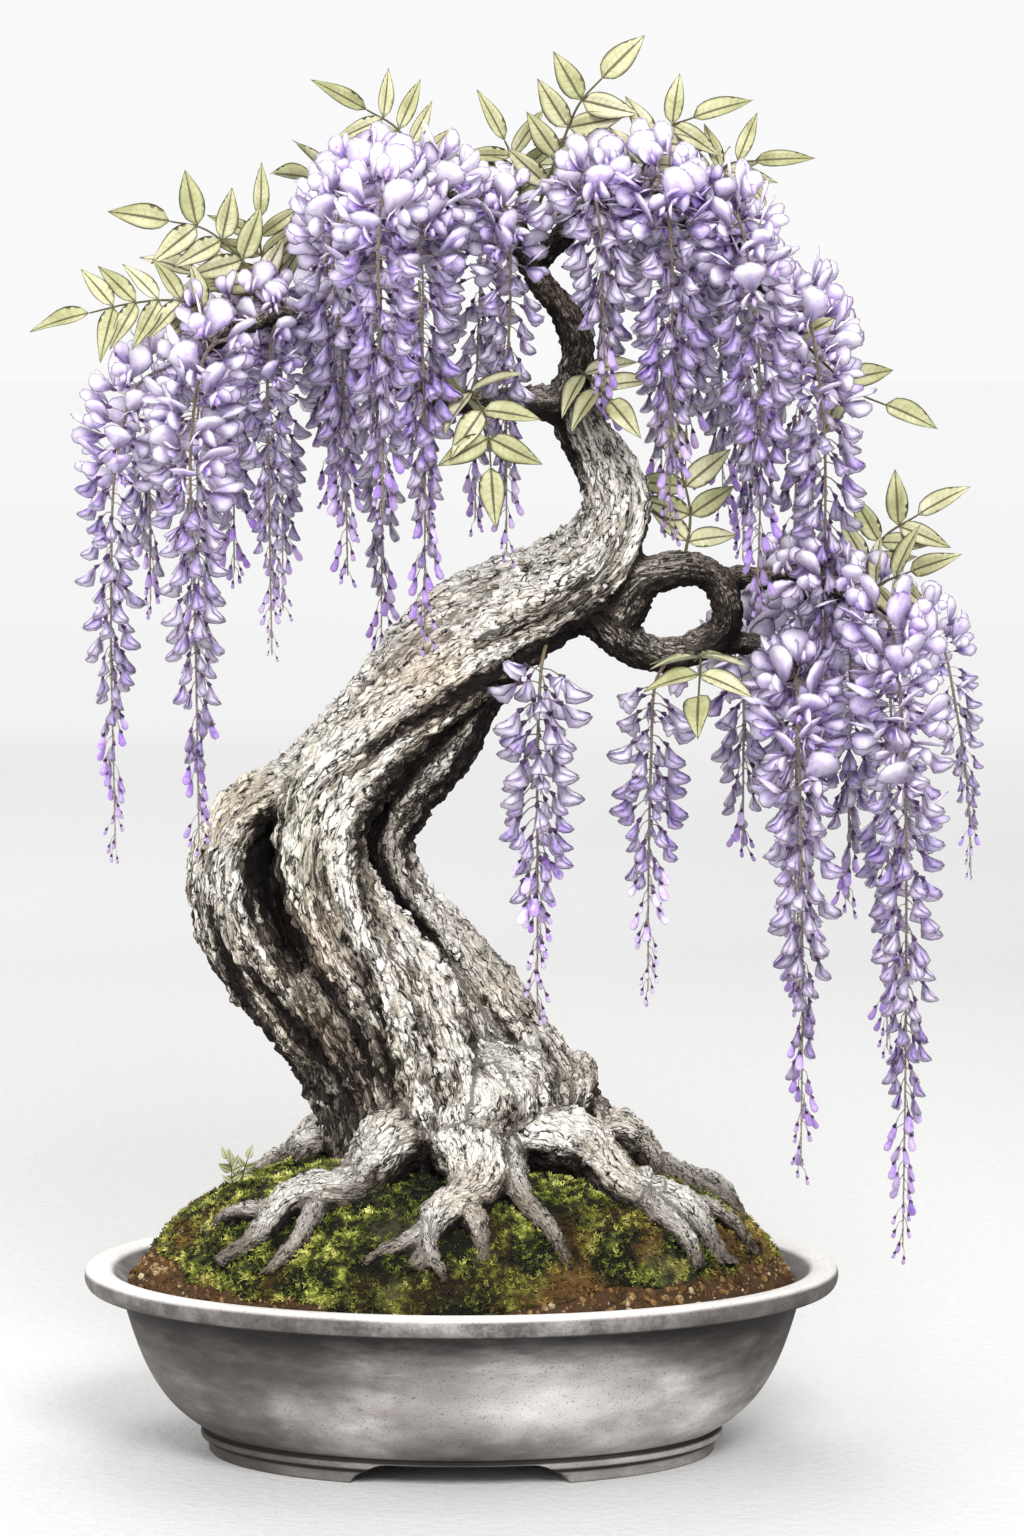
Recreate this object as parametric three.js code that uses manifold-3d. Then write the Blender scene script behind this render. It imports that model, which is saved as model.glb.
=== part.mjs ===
// Wisteria bonsai in an oval stoneware pot.
//
// Millimetres, +Z up.  The pot's feet stand on z = 0 and the show side faces -Y.
// Inside the group everything is placed from the middle of the pot, and the group is then
// shifted so that the middle of the whole plant's box is over the origin.

import * as THREE from 'three';
import { mergeVertices } from 'three/addons/utils/BufferGeometryUtils.js';
import Module from 'manifold-3d';

const wasm = await Module();
wasm.setup();

// ---------------------------------------------------------------- driving dimensions

const fit = 0.3;                 // gap between pieces that touch
const potMiddle = [-29, -13];    // where the pot's middle stands in the finished group

const potHeight = 100;
const rimHalfLength = 200;
const rimHalfDepth = 132;
const footHalfLength = 136;
const footHalfDepth = 84;
const ovalSides = 32;
const drainRadius = 9;
const drainFromMiddle = 62;
// The inside of the pot's wall, as [half length, height] from under the rim to the floor.
const potInside = [[173, 88], [154, 42], [130, 22]];

const soilHalfLength = 177;      // where the soil meets the inside of the rim
const soilRimHeight = 91.5;
const moundRise = 58;            // how far the soil rises from the rim to the trunk
const mossDepth = 8;
const trunkFoot = 112;           // the trunk is sunk this low into the soil

const racemeReach = 32;          // longest floret, from the stem of its raceme
const floretGap = 22.5;          // distance between two rings of florets
const budsFrom = 0.6;            // share of a raceme below which its florets are still buds
const stemRadius = 2.4;          // thickness of a raceme's stem among the florets
const leafletLength = 33;
const leafletHalfWidth = 6.8;
const bladeThickness = 1.4;      // of a leaflet, along its rib
const leafStalkHalfWidth = 1.1;
const leafStalkDepth = 1.6;

// Least distances from a floret's corner to other florets' corners, leaf stalks and wood.
const floretSpacing = 4.5;
const stalkClearance = 2.5;
const woodClearance = 2.2;

// ---------------------------------------------------------------- helpers

const vector = (x, y, z) => new THREE.Vector3(x, y, z);
const asVector = (list) => vector(list[0], list[1], list[2]);
const mix = (a, b, share) => a + (b - a) * share;

// A closed skin, built up from points and triangles.
class Skin {
  points = [];
  faces = [];

  point(position) {
    this.points.push(position);
    return this.points.length - 1;
  }

  triangle(a, b, c) {
    this.faces.push(a, b, c);
  }

  // Splits a bent quad along the diagonal that bulges outwards.
  quad(a, b, c, d) {
    const [pa, pb, pc, pd] = [a, b, c, d].map((corner) => this.points[corner]);
    const normal = new THREE.Triangle(pa, pb, pc).getNormal(new THREE.Vector3());
    if (normal.dot(pd.clone().sub(pa)) <= 0) {
      this.triangle(a, b, c);
      this.triangle(a, c, d);
    } else {
      this.triangle(b, c, d);
      this.triangle(b, d, a);
    }
  }

  // Triangles from one middle point to each side of a closed loop.
  fan(middle, loop) {
    loop.forEach((corner, i) => this.triangle(middle, corner, loop[(i + 1) % loop.length]));
  }

  geometry() {
    const geometry = new THREE.BufferGeometry();
    const flat = this.points.flatMap((p) => [p.x, p.y, p.z]);
    geometry.setAttribute('position', new THREE.Float32BufferAttribute(flat, 3));
    geometry.setIndex(this.faces);
    return geometry;
  }
}

function toSolid(geometry) {
  const bare = geometry.clone();
  bare.deleteAttribute('normal');
  bare.deleteAttribute('uv');
  const merged = mergeVertices(bare, 1e-4);
  return new wasm.Manifold(new wasm.Mesh({
    numProp: 3,
    vertProperties: new Float32Array(merged.attributes.position.array),
    triVerts: new Uint32Array(merged.index.array),
  }));
}

// Keeps the largest piece, so that no loose scrap stays beside it.
function fromSolid(solid) {
  const pieces = solid.decompose().sort((a, b) => b.volume() - a.volume());
  const mesh = pieces[0].getMesh();
  const geometry = new THREE.BufferGeometry();
  geometry.setAttribute('position', new THREE.BufferAttribute(new Float32Array(mesh.vertProperties), 3));
  geometry.setIndex(new THREE.BufferAttribute(new Uint32Array(mesh.triVerts), 1));
  return geometry;
}

function seeded(seed) {
  let state = seed;
  return () => {
    state = (state * 1664525 + 1013904223) % 4294967296;
    return state / 4294967296;
  };
}

// A curve read by shares of its length.
const evenly = (curve) => ({
  getTangent: (share) => curve.getTangentAt(share),
  getPoint: (share) => curve.getPointAt(share),
});

// Directions across a curve at each of the given shares of it, turning as little as
// they can from one to the next.
function framesAlong(curve, shares, firstSide) {
  const side = firstSide.clone();
  return shares.map((share) => {
    const along = curve.getTangent(share);
    side.addScaledVector(along, -side.dot(along)).normalize();
    const across = side.clone();
    const up = vector(0, 0, 0).crossVectors(along, across);
    return { centre: curve.getPoint(share), along, across, up };
  });
}

// ---------------------------------------------------------------- pot

function halfDepthAt(halfLength) {
  if (halfLength < footHalfLength) {
    return footHalfDepth * halfLength / footHalfLength;
  }
  const share = (halfLength - footHalfLength) / (rimHalfLength - footHalfLength);
  return mix(footHalfDepth, rimHalfDepth, share);
}

// Turns a profile of [half length, height] points into an oval vessel or plug.
function ovalLathe(profile) {
  const outline = profile.map(([halfLength, z]) => new THREE.Vector2(halfLength, z));
  const geometry = new THREE.LatheGeometry(outline, ovalSides);
  geometry.rotateX(Math.PI / 2);
  const position = geometry.attributes.position;
  for (let i = 0; i < position.count; i += 1) {
    const radius = Math.hypot(position.getX(i), position.getY(i));
    const squash = radius > 1 ? halfDepthAt(radius) / radius : 1;
    position.setY(i, position.getY(i) * squash);
  }
  return geometry;
}

function potBody() {
  const underside = 12;
  const footWidth = 16;
  return ovalLathe([
    [0, underside],
    [footHalfLength - footWidth - 2, underside],
    [footHalfLength - footWidth, 0],
    [footHalfLength, 0],
    [footHalfLength, 8],
    [footHalfLength + 3, 11],
    [footHalfLength, 14],
    [154, 27],
    [169, 48],
    [180, 87],
    [197, 88],
    [rimHalfLength, 91],
    [rimHalfLength, potHeight - 1.5],
    [rimHalfLength - 2, potHeight],
    [188, potHeight],
    ...potInside,
    [0, potInside.at(-1)[1]],
  ]);
}

// The bracket-shaped cut-out that parts the foot ring into a left and a right foot.
function footCutter() {
  const halfWidth = 56;
  const height = 10.5;
  const outline = new THREE.Shape();
  outline.moveTo(-halfWidth, -1);
  outline.lineTo(halfWidth, -1);
  outline.lineTo(halfWidth, 0);
  outline.lineTo(halfWidth - 4, 5);
  outline.lineTo(halfWidth - 10, height - 2);
  outline.lineTo(halfWidth - 17, height);
  outline.lineTo(-halfWidth + 17, height);
  outline.lineTo(-halfWidth + 10, height - 2);
  outline.lineTo(-halfWidth + 4, 5);
  outline.lineTo(-halfWidth, 0);
  outline.closePath();
  const depth = 2 * rimHalfDepth;
  const cutter = new THREE.ExtrudeGeometry(outline, { depth, bevelEnabled: false });
  cutter.rotateX(Math.PI / 2);
  cutter.translate(0, depth / 2, 0);
  return cutter;
}

function drainHole(x) {
  const hole = new THREE.CylinderGeometry(drainRadius, drainRadius, 30, 10);
  hole.rotateX(Math.PI / 2);
  hole.translate(x, 0, 17);
  return toSolid(hole);
}

function pot() {
  const footed = toSolid(potBody()).subtract(toSolid(footCutter()));
  const drained = [-drainFromMiddle, drainFromMiddle].reduce((body, x) => (
    body.subtract(drainHole(x))), footed);
  return fromSolid(drained);
}

// ---------------------------------------------------------------- soil and moss

// Height of the soil at a share of the way from the trunk (0) to the rim (1).
const soilRings = [0.35, 0.65, 0.95, 1];
const soilHeight = (share) => soilRimHeight + moundRise * (1 - share ** 3.6);

function soilBody() {
  const wallGap = 2 * fit;
  const wall = [...potInside].reverse().map(([halfLength, z]) => [halfLength - wallGap, z + wallGap]);
  const top = [...soilRings].reverse().map((share) => [share * soilHalfLength, soilHeight(share)]);
  return ovalLathe([[0, wall[0][1]], ...wall, ...top, [0, soilHeight(0)]]);
}

// Height of the flat-faceted soil between two of its rings.
function soilFacetHeight(share) {
  const rings = [0, ...soilRings];
  const outer = rings.findIndex((ring) => ring >= share && ring > 0);
  const low = rings[outer - 1];
  const high = rings[outer];
  return mix(soilHeight(low), soilHeight(high), (share - low) / (high - low));
}

function mossPoint(share, angle, height) {
  const halfDepth = halfDepthAt(soilHalfLength);
  const x = share * soilHalfLength * Math.cos(angle);
  const y = share * halfDepth * Math.sin(angle);
  return vector(x, y, height);
}

// A blanket over the mound with a wandering edge and a lumpy top.
function mossBody() {
  const random = seeded(11);
  const skin = new Skin();
  const edge = (angle) => 0.91 + 0.02 * Math.sin(3 * angle + 1) + 0.015 * Math.sin(7 * angle);
  const rings = [0.35, 0.65];
  const ringPoints = (heightAbove) => [...rings, null].map((ring) => {
    const loop = [];
    for (let i = 0; i < ovalSides; i += 1) {
      const angle = (2 * Math.PI * i) / ovalSides;
      const share = ring ?? edge(angle);
      const height = soilFacetHeight(share) + heightAbove(ring);
      loop.push(skin.point(mossPoint(share, angle, height)));
    }
    return loop;
  });
  const lower = ringPoints(() => fit);
  const upper = ringPoints((ring) => (ring ? mossDepth + 3 * random() - 1.5 : 1.6));
  const lowMiddle = skin.point(vector(0, 0, soilHeight(0) + fit));
  const topMiddle = skin.point(vector(0, 0, soilHeight(0) + mossDepth));
  skin.fan(topMiddle, upper[0]);
  skin.fan(lowMiddle, [...lower[0]].reverse());
  for (let i = 0; i < ovalSides; i += 1) {
    const next = (i + 1) % ovalSides;
    for (let ring = 0; ring + 1 < upper.length; ring += 1) {
      skin.quad(upper[ring][i], upper[ring + 1][i], upper[ring + 1][next], upper[ring][next]);
      skin.quad(lower[ring][next], lower[ring + 1][next], lower[ring + 1][i], lower[ring][i]);
    }
    const last = upper.length - 1;
    skin.quad(upper[last][i], lower[last][i], lower[last][next], upper[last][next]);
  }
  return skin.geometry();
}

// ---------------------------------------------------------------- trunk, roots and branches

// Each route is a list of [x, y, z, radius].  The trunk is four strands grown together.
const strands = {
  front: [
    [12, -10, 92, 34], [8, -13, 130, 33], [0, -15, 172, 34], [-16, -17, 212, 30],
    [-38, -21, 252, 28], [-60, -24, 284, 27], [-72, -23, 316, 25], [-68, -20, 347, 24],
    [-46, -14, 375, 23], [-18, -8, 402, 23], [14, -4, 430, 22], [48, -6, 452, 20],
    [73, -8, 474, 18], [82, -4, 500, 17], [74, 2, 523, 15], [62, 6, 544, 13],
    [58, 7, 563, 10], [61, 4, 581, 9], [55, 0, 600, 8], [41, 0, 618, 7],
    [32, 2, 635, 5], [31, 4, 648, 4],
  ],
  left: [
    [-38, 12, 98, 26], [-42, 12, 137, 27], [-48, 12, 174, 26], [-64, 12, 212, 25],
    [-93, 6, 248, 24], [-116, 0, 281, 22], [-123, -2, 313, 20], [-112, 0, 340, 18],
    [-86, 4, 356, 17], [-59, 10, 380, 18], [-32, 16, 410, 20], [-6, 18, 438, 20],
    [26, 14, 457, 18], [57, 8, 473, 16], [75, 6, 492, 13],
  ],
  right: [
    [74, 4, 100, 20], [70, 4, 141, 22], [58, 2, 176, 19], [41, 0, 206, 18],
    [19, 0, 238, 17], [-8, 4, 270, 16], [-32, 6, 299, 15], [-39, 8, 326, 15],
    [-27, 8, 352, 18], [-6, 4, 372, 19], [9, -2, 394, 18], [26, -6, 415, 18],
    [52, -8, 433, 18], [74, -6, 448, 14],
  ],
  back: [
    [6, 34, 95, 38], [4, 34, 137, 40], [-10, 36, 180, 40], [-36, 30, 225, 40],
    [-68, 24, 264, 37], [-84, 20, 300, 34], [-80, 22, 330, 31], [-54, 24, 359, 28],
    [-20, 26, 394, 26], [15, 22, 424, 26], [52, 14, 449, 24], [78, 10, 473, 19],
  ],
};

// Roots ride on the mound: [x, y, height over the moss, radius].
const roots = [
  [[-46, 12, 20, 22], [-66, 26, 8, 16], [-88, 40, 1, 13], [-110, 52, 1, 9], [-132, 60, -5, 5]],
  [[-15, -20, 24, 20], [-40, -40, 8, 17], [-62, -52, 1, 13], [-92, -61, 1, 10], [-124, -66, -5, 5]],
  [[6, -25, 26, 22], [9, -48, 8, 18], [2, -68, 2, 14], [-10, -86, -1, 10], [-24, -98, -6, 6]],
  [[-2, -70, 2, 9], [6, -86, 0, 7], [14, -98, -6, 4]],
  [[36, -16, 24, 22], [62, -30, 7, 17], [92, -42, 4, 13], [120, -49, 1, 9], [146, -54, -6, 5]],
  [[58, 4, 16, 20], [82, 8, 6, 16], [108, 14, 0, 12], [130, 19, -1, 9], [153, 24, -6, 5]],
  [[22, -44, 6, 10], [34, -66, 1, 7], [46, -84, -1, 5], [56, -94, -5, 3.5]],
  [[10, 60, 18, 24], [4, 80, 5, 14], [-8, 95, -1, 8], [-18, 103, -7, 4]],
  [[40, 46, 16, 20], [60, 64, 5, 13], [82, 78, -1, 8], [100, 85, -6, 4]],
  [[-36, 46, 16, 18], [-58, 66, 4, 12], [-78, 80, -2, 8], [-93, 87, -7, 4]],
];

const branches = {
  rightLoopTop: [
    [82, -4, 450, 12], [99, -10, 463, 10], [115, -12, 471, 9], [130, -8, 467, 8],
    [138, -2, 452, 8], [135, 3, 437, 8], [124, 6, 427, 8],
  ],
  rightLoopLow: [
    [68, -6, 444, 14], [90, 2, 431, 10], [107, 6, 423, 9], [121, 8, 423, 8],
    [134, 9, 430, 7], [150, 10, 431, 6], [166, 8, 422, 5], [176, 4, 410, 3.5],
  ],
  rightLimb: [
    [134, -4, 460, 7], [149, 4, 464, 6], [165, 8, 463, 6], [182, 4, 456, 5],
    [202, 4, 453, 5], [220, 6, 450, 4], [234, 8, 449, 3],
  ],
  rightBack: [[182, 4, 456, 5], [190, 28, 462, 4.5], [196, 54, 460, 4], [204, 78, 448, 3]],
  rightFront: [[166, 8, 463, 5], [180, -12, 466, 4.5], [196, -30, 460, 4], [214, -40, 450, 3]],
  leftLimb: [
    [58, 8, 547, 10], [41, 2, 556, 9], [26, -4, 558, 8], [8, -6, 553, 7],
    [-11, -2, 558, 6], [-34, 6, 571, 6], [-60, 6, 585, 5], [-83, 0, 595, 5],
    [-103, -6, 597, 4], [-122, -8, 590, 4], [-142, -8, 577, 3],
  ],
  leftBack: [[-50, 6, 580, 5], [-72, 34, 592, 4.5], [-98, 60, 594, 4], [-124, 84, 586, 3]],
  leftFront: [[-83, 0, 595, 4.5], [-98, -22, 600, 4], [-116, -34, 590, 3]],
  topLeft: [[32, 2, 634, 5], [18, -6, 652, 4.5], [-5, -14, 662, 4], [-31, -20, 664, 4], [-54, -22, 656, 3]],
  topLeftFront: [[-5, -14, 662, 4], [-22, -40, 666, 3.5], [-34, -68, 660, 3]],
  topLeftBack: [
    [36, 2, 628, 5], [14, 26, 648, 4.5], [-10, 52, 654, 4], [-34, 78, 652, 3.5], [-52, 98, 644, 3],
  ],
  topRight: [
    [37, 1, 624, 5.5], [52, -8, 642, 5], [72, -14, 657, 4.5], [98, -18, 662, 4],
    [124, -18, 652, 3.5], [147, -12, 632, 3], [162, -10, 608, 3],
  ],
  topRightBack: [
    [44, 0, 634, 5], [66, 24, 650, 4.5], [92, 50, 656, 4], [118, 76, 648, 3.5], [140, 94, 628, 3],
  ],
  topRightSide: [[92, 50, 656, 4], [122, 52, 648, 3.5], [150, 52, 626, 3], [164, 54, 604, 3]],
};

function mossHeight(x, y) {
  const share = Math.min(1, Math.hypot(x / soilHalfLength, y / halfDepthAt(soilHalfLength)));
  return soilHeight(share) + mossDepth;
}

function rootRoute(root) {
  return root.map(([x, y, over, radius]) => [x, y, mossHeight(x, y) + over, radius]);
}

function radiusAt(route, share) {
  const place = share * (route.length - 1);
  const index = Math.min(route.length - 2, Math.floor(place));
  return mix(route[index][3], route[index + 1][3], place - index);
}

// A many-sided limb along a route, a little uneven, with rounded ends.  grow makes it fatter.
function limb(route, sides, steps, grow = 0) {
  const twist = 0.35;
  const unevenness = 0.09;
  const endBulge = 0.5;
  const curve = new THREE.CatmullRomCurve3(route.map(asVector));
  const shares = Array.from({ length: steps + 1 }, (_, i) => i / steps);
  const frames = framesAlong(curve, shares, vector(0.9, 0.3, 0.1));
  const skin = new Skin();
  const rings = frames.map(({ centre, across, up }, ring) => {
    const radius = radiusAt(route, shares[ring]);
    return Array.from({ length: sides }, (_, i) => {
      const angle = (2 * Math.PI * i) / sides + twist * ring;
      const uneven = 1 + unevenness * Math.sin(5.3 * i + 1.7 * ring + route[0][0]);
      const reach = radius * uneven + grow;
      const offset = across.clone().multiplyScalar(Math.cos(angle) * reach);
      offset.addScaledVector(up, Math.sin(angle) * reach);
      return skin.point(offset.add(centre));
    });
  });
  for (let ring = 0; ring < steps; ring += 1) {
    for (let i = 0; i < sides; i += 1) {
      const next = (i + 1) % sides;
      skin.quad(rings[ring][i], rings[ring][next], rings[ring + 1][next], rings[ring + 1][i]);
    }
  }
  const first = frames[0];
  const last = frames[steps];
  const tail = first.centre.clone().addScaledVector(first.along, -route[0][3] * endBulge - grow);
  const nose = last.centre.clone().addScaledVector(last.along, route.at(-1)[3] * endBulge + grow);
  skin.fan(skin.point(tail), [...rings[0]].reverse());
  skin.fan(skin.point(nose), rings[steps]);
  return skin.geometry();
}

function trunkSolid(grow) {
  const limbs = [
    ...Object.values(strands).map((route) => limb(route, 7, route.length - 1, grow)),
    ...roots.map((root) => limb(rootRoute(root), 5, root.length - 1, grow)),
    ...Object.values(branches).map((route) => limb(route, 5, route.length - 1, grow)),
  ];
  const grown = limbs.map(toSolid).reduce((whole, piece) => whole.add(piece));
  const below = new THREE.BoxGeometry(400, 400, 100);
  below.translate(0, 0, trunkFoot - grow - 50);
  return grown.subtract(toSolid(below));
}

// ---------------------------------------------------------------- what flowers and leaves keep clear of

// Points along a route, with the radius of the wood there.
function samplesAlong(route, spacing) {
  const curve = new THREE.CatmullRomCurve3(route.map(asVector));
  const count = Math.ceil(curve.getLength() / spacing);
  return Array.from({ length: count + 1 }, (_, i) => ({
    at: curve.getPoint(i / count),
    radius: radiusAt(route, i / count),
  }));
}

const wood = [...Object.values(strands), ...Object.values(branches)]
  .flatMap((route) => samplesAlong(route, 6));

function nearest(samples, point) {
  return samples.reduce((best, sample) => {
    const distance = sample.at.distanceTo(point) - (sample.radius ?? 0);
    return distance < best.distance ? { distance, sample } : best;
  }, { distance: Infinity });
}

// A stalk's first point: just under the skin of the nearest wood, where it is later cut clear.
function startInWood(near, towards) {
  const { sample } = nearest(wood, near);
  const direction = towards.clone().sub(sample.at).normalize();
  return sample.at.clone().addScaledVector(direction, 0.7 * sample.radius);
}

// ---------------------------------------------------------------- racemes

// Each raceme's stem: from near its twig, over a shoulder, down to the tip.  A raceme's florets
// have their full length unless its fullness says less.
const racemeRoutes = [
  // top left
  { route: [[-34, -20, 664], [-53, -32, 670], [-64, -38, 640], [-60, -33, 570], [-58, -30, 467]] },
  { route: [[-8, -28, 664], [-14, -44, 672], [-20, -50, 636], [-18, -48, 560], [-18, -46, 437]] },
  {
    fullness: 0.85,
    route: [[18, -5, 654], [24, -24, 656], [26, -28, 620], [24, -24, 560], [24, -22, 479]],
  },
  { route: [[-26, 4, 664], [-38, 22, 668], [-42, 34, 634], [-42, 40, 540], [-43, 42, 414]] },
  { route: [[-2, 50, 655], [8, 62, 658], [10, 66, 626], [8, 64, 570], [7, 60, 491]] },
  { route: [[-44, 62, 650], [-62, 58, 656], [-72, 58, 628], [-72, 58, 580], [-71, 58, 503]] },
  { route: [[-34, 78, 652], [-26, 98, 656], [-22, 106, 626], [-22, 108, 570], [-22, 106, 489]] },
  { route: [[-52, 98, 644], [-64, 108, 644], [-68, 112, 616], [-66, 112, 570], [-64, 112, 489]] },
  { route: [[-34, -68, 660], [-38, -84, 660], [-40, -90, 632], [-39, -90, 580], [-38, -88, 500]] },
  // left
  {
    fullness: 0.9,
    route: [[-142, -8, 577], [-166, -12, 566], [-178, -12, 528], [-182, -11, 453], [-181, -10, 323]],
  },
  { route: [[-116, -34, 590], [-128, -42, 584], [-137, -46, 540], [-136, -44, 450], [-135, -42, 330]] },
  {
    fullness: 0.75,
    route: [[-86, -2, 597], [-94, -16, 600], [-99, -22, 570], [-99, -20, 510], [-98, -18, 425]],
  },
  { route: [[-130, 30, 590], [-152, 42, 580], [-166, 46, 548], [-166, 46, 500], [-166, 46, 449]] },
  { route: [[-98, 50, 594], [-116, 44, 590], [-122, 42, 562], [-121, 42, 520], [-121, 42, 465]] },
  { route: [[-124, 84, 586], [-138, 98, 578], [-144, 102, 545], [-144, 102, 490], [-144, 100, 423]] },
  {
    fullness: 0.9,
    route: [[-110, 72, 590], [-100, 90, 588], [-98, 98, 560], [-98, 98, 510], [-98, 98, 440]],
  },
  // top right
  { route: [[95, -18, 662], [102, -36, 672], [108, -46, 636], [108, -42, 570], [108, -38, 492]] },
  { route: [[126, -18, 652], [140, -34, 654], [150, -44, 610], [154, -44, 540], [153, -42, 455]] },
  { route: [[160, -12, 612], [176, -20, 606], [187, -24, 550], [189, -21, 470], [190, -20, 377]] },
  { route: [[70, -14, 657], [68, -36, 668], [72, -48, 642], [73, -50, 610], [74, -50, 566]] },
  { route: [[98, 20, 655], [114, 18, 660], [120, 20, 628], [119, 20, 580], [118, 20, 518]] },
  { route: [[164, 54, 604], [176, 46, 604], [180, 44, 570], [178, 44, 520], [176, 44, 465]] },
  { route: [[72, 32, 652], [70, 56, 662], [74, 68, 632], [74, 68, 580], [74, 66, 520]] },
  { route: [[114, 74, 650], [108, 94, 654], [108, 102, 620], [108, 102, 560], [108, 100, 489]] },
  { route: [[140, 94, 628], [152, 108, 624], [156, 112, 590], [154, 112, 540], [153, 110, 467]] },
  { route: [[148, 52, 626], [138, 62, 630], [138, 68, 600], [139, 68, 560], [140, 66, 500]] },
  // right
  {
    fullness: 0.95,
    route: [[46, -6, 434], [42, -36, 420], [40, -42, 380], [40, -40, 320], [40, -36, 242]],
  },
  {
    fullness: 0.8,
    route: [[108, -4, 421], [101, -24, 410], [99, -26, 370], [98, -24, 320], [98, -20, 249]],
  },
  { route: [[176, 4, 410], [174, -34, 412], [175, -48, 360], [177, -48, 260], [177, -46, 161]] },
  { route: [[212, -40, 450], [220, -52, 444], [228, -50, 380], [231, -44, 250], [231, -38, 116]] },
  {
    fullness: 0.7,
    route: [[232, 8, 449], [250, 14, 436], [262, 16, 390], [268, 16, 350], [270, 16, 305]],
  },
  { route: [[202, 4, 453], [205, 16, 440], [206, 26, 404], [206, 28, 350], [206, 28, 290]] },
  { route: [[150, 10, 431], [148, 30, 424], [150, 34, 396], [150, 34, 360], [150, 32, 318]] },
  { route: [[196, 54, 460], [186, 68, 452], [182, 74, 410], [182, 74, 320], [182, 72, 228]] },
  { route: [[204, 78, 448], [222, 88, 440], [232, 90, 400], [232, 88, 300], [232, 84, 201]] },
  { route: [[168, 8, 420], [174, 30, 412], [178, 36, 380], [178, 36, 330], [178, 34, 262]] },
];

const racemeStems = racemeRoutes.map(({ fullness = 1, route }) => {
  const points = route.map(asVector);
  points[0] = startInWood(points[0], points[1]);
  const curve = new THREE.CatmullRomCurve3(points);
  const count = Math.ceil(curve.getLength() / 6);
  const samples = Array.from({ length: count + 1 }, (_, i) => ({ at: curve.getPointAt(i / count) }));
  return { curve, length: curve.getLength(), samples, fullness };
});

// How far florets stand out at a share of the way down the raceme.
const reachAt = (share) => mix(4.5, racemeReach, 1 - share ** 1.8);

// True where a floret's corner is clearly nearer its own stem than anything else is.
function cornerIsClear(corner, centre, own, leafStalks) {
  const nearOwn = nearest(own.samples, corner).distance;
  if (corner.distanceTo(centre) > 1.35 * nearOwn + 2) {
    return false;
  }
  const crowded = racemeStems.some((other) => (
    other !== own && nearest(other.samples, corner).distance < nearOwn + 1.4
  ));
  if (crowded || nearest(leafStalks, corner).distance < stalkClearance) {
    return false;
  }
  return [0.4, 0.7, 1].every((share) => {
    const along = centre.clone().lerp(corner, share);
    return nearest(wood, along).distance > woodClearance;
  });
}

// A floret as [outward, sideways, down] corners, as shares of its length: two corners of the
// banner and a keel that points down and out, or near the tip only the end of a hanging bud.
const openFloret = [[0.84, -0.4, -0.12], [0.84, 0.4, -0.12], [0.98, 0, 0.5]];
const bud = [[0.9, 0, 0.9]];

// Draws the floret in, all corners alike, until nothing crowds it.  Returns null if it can't.
function settledFloret(shape, centre, along, out, reach, isClear) {
  const side = vector(0, 0, 0).crossVectors(along, out);
  for (let length = reach; length > 0.3 * reach; length *= 0.86) {
    const corners = shape.map(([outward, sideways, down]) => centre.clone()
      .addScaledVector(out, outward * length)
      .addScaledVector(side, sideways * length)
      .addScaledVector(along, down * length));
    if (corners.every(isClear)) {
      return corners;
    }
  }
  return null;
}

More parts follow.
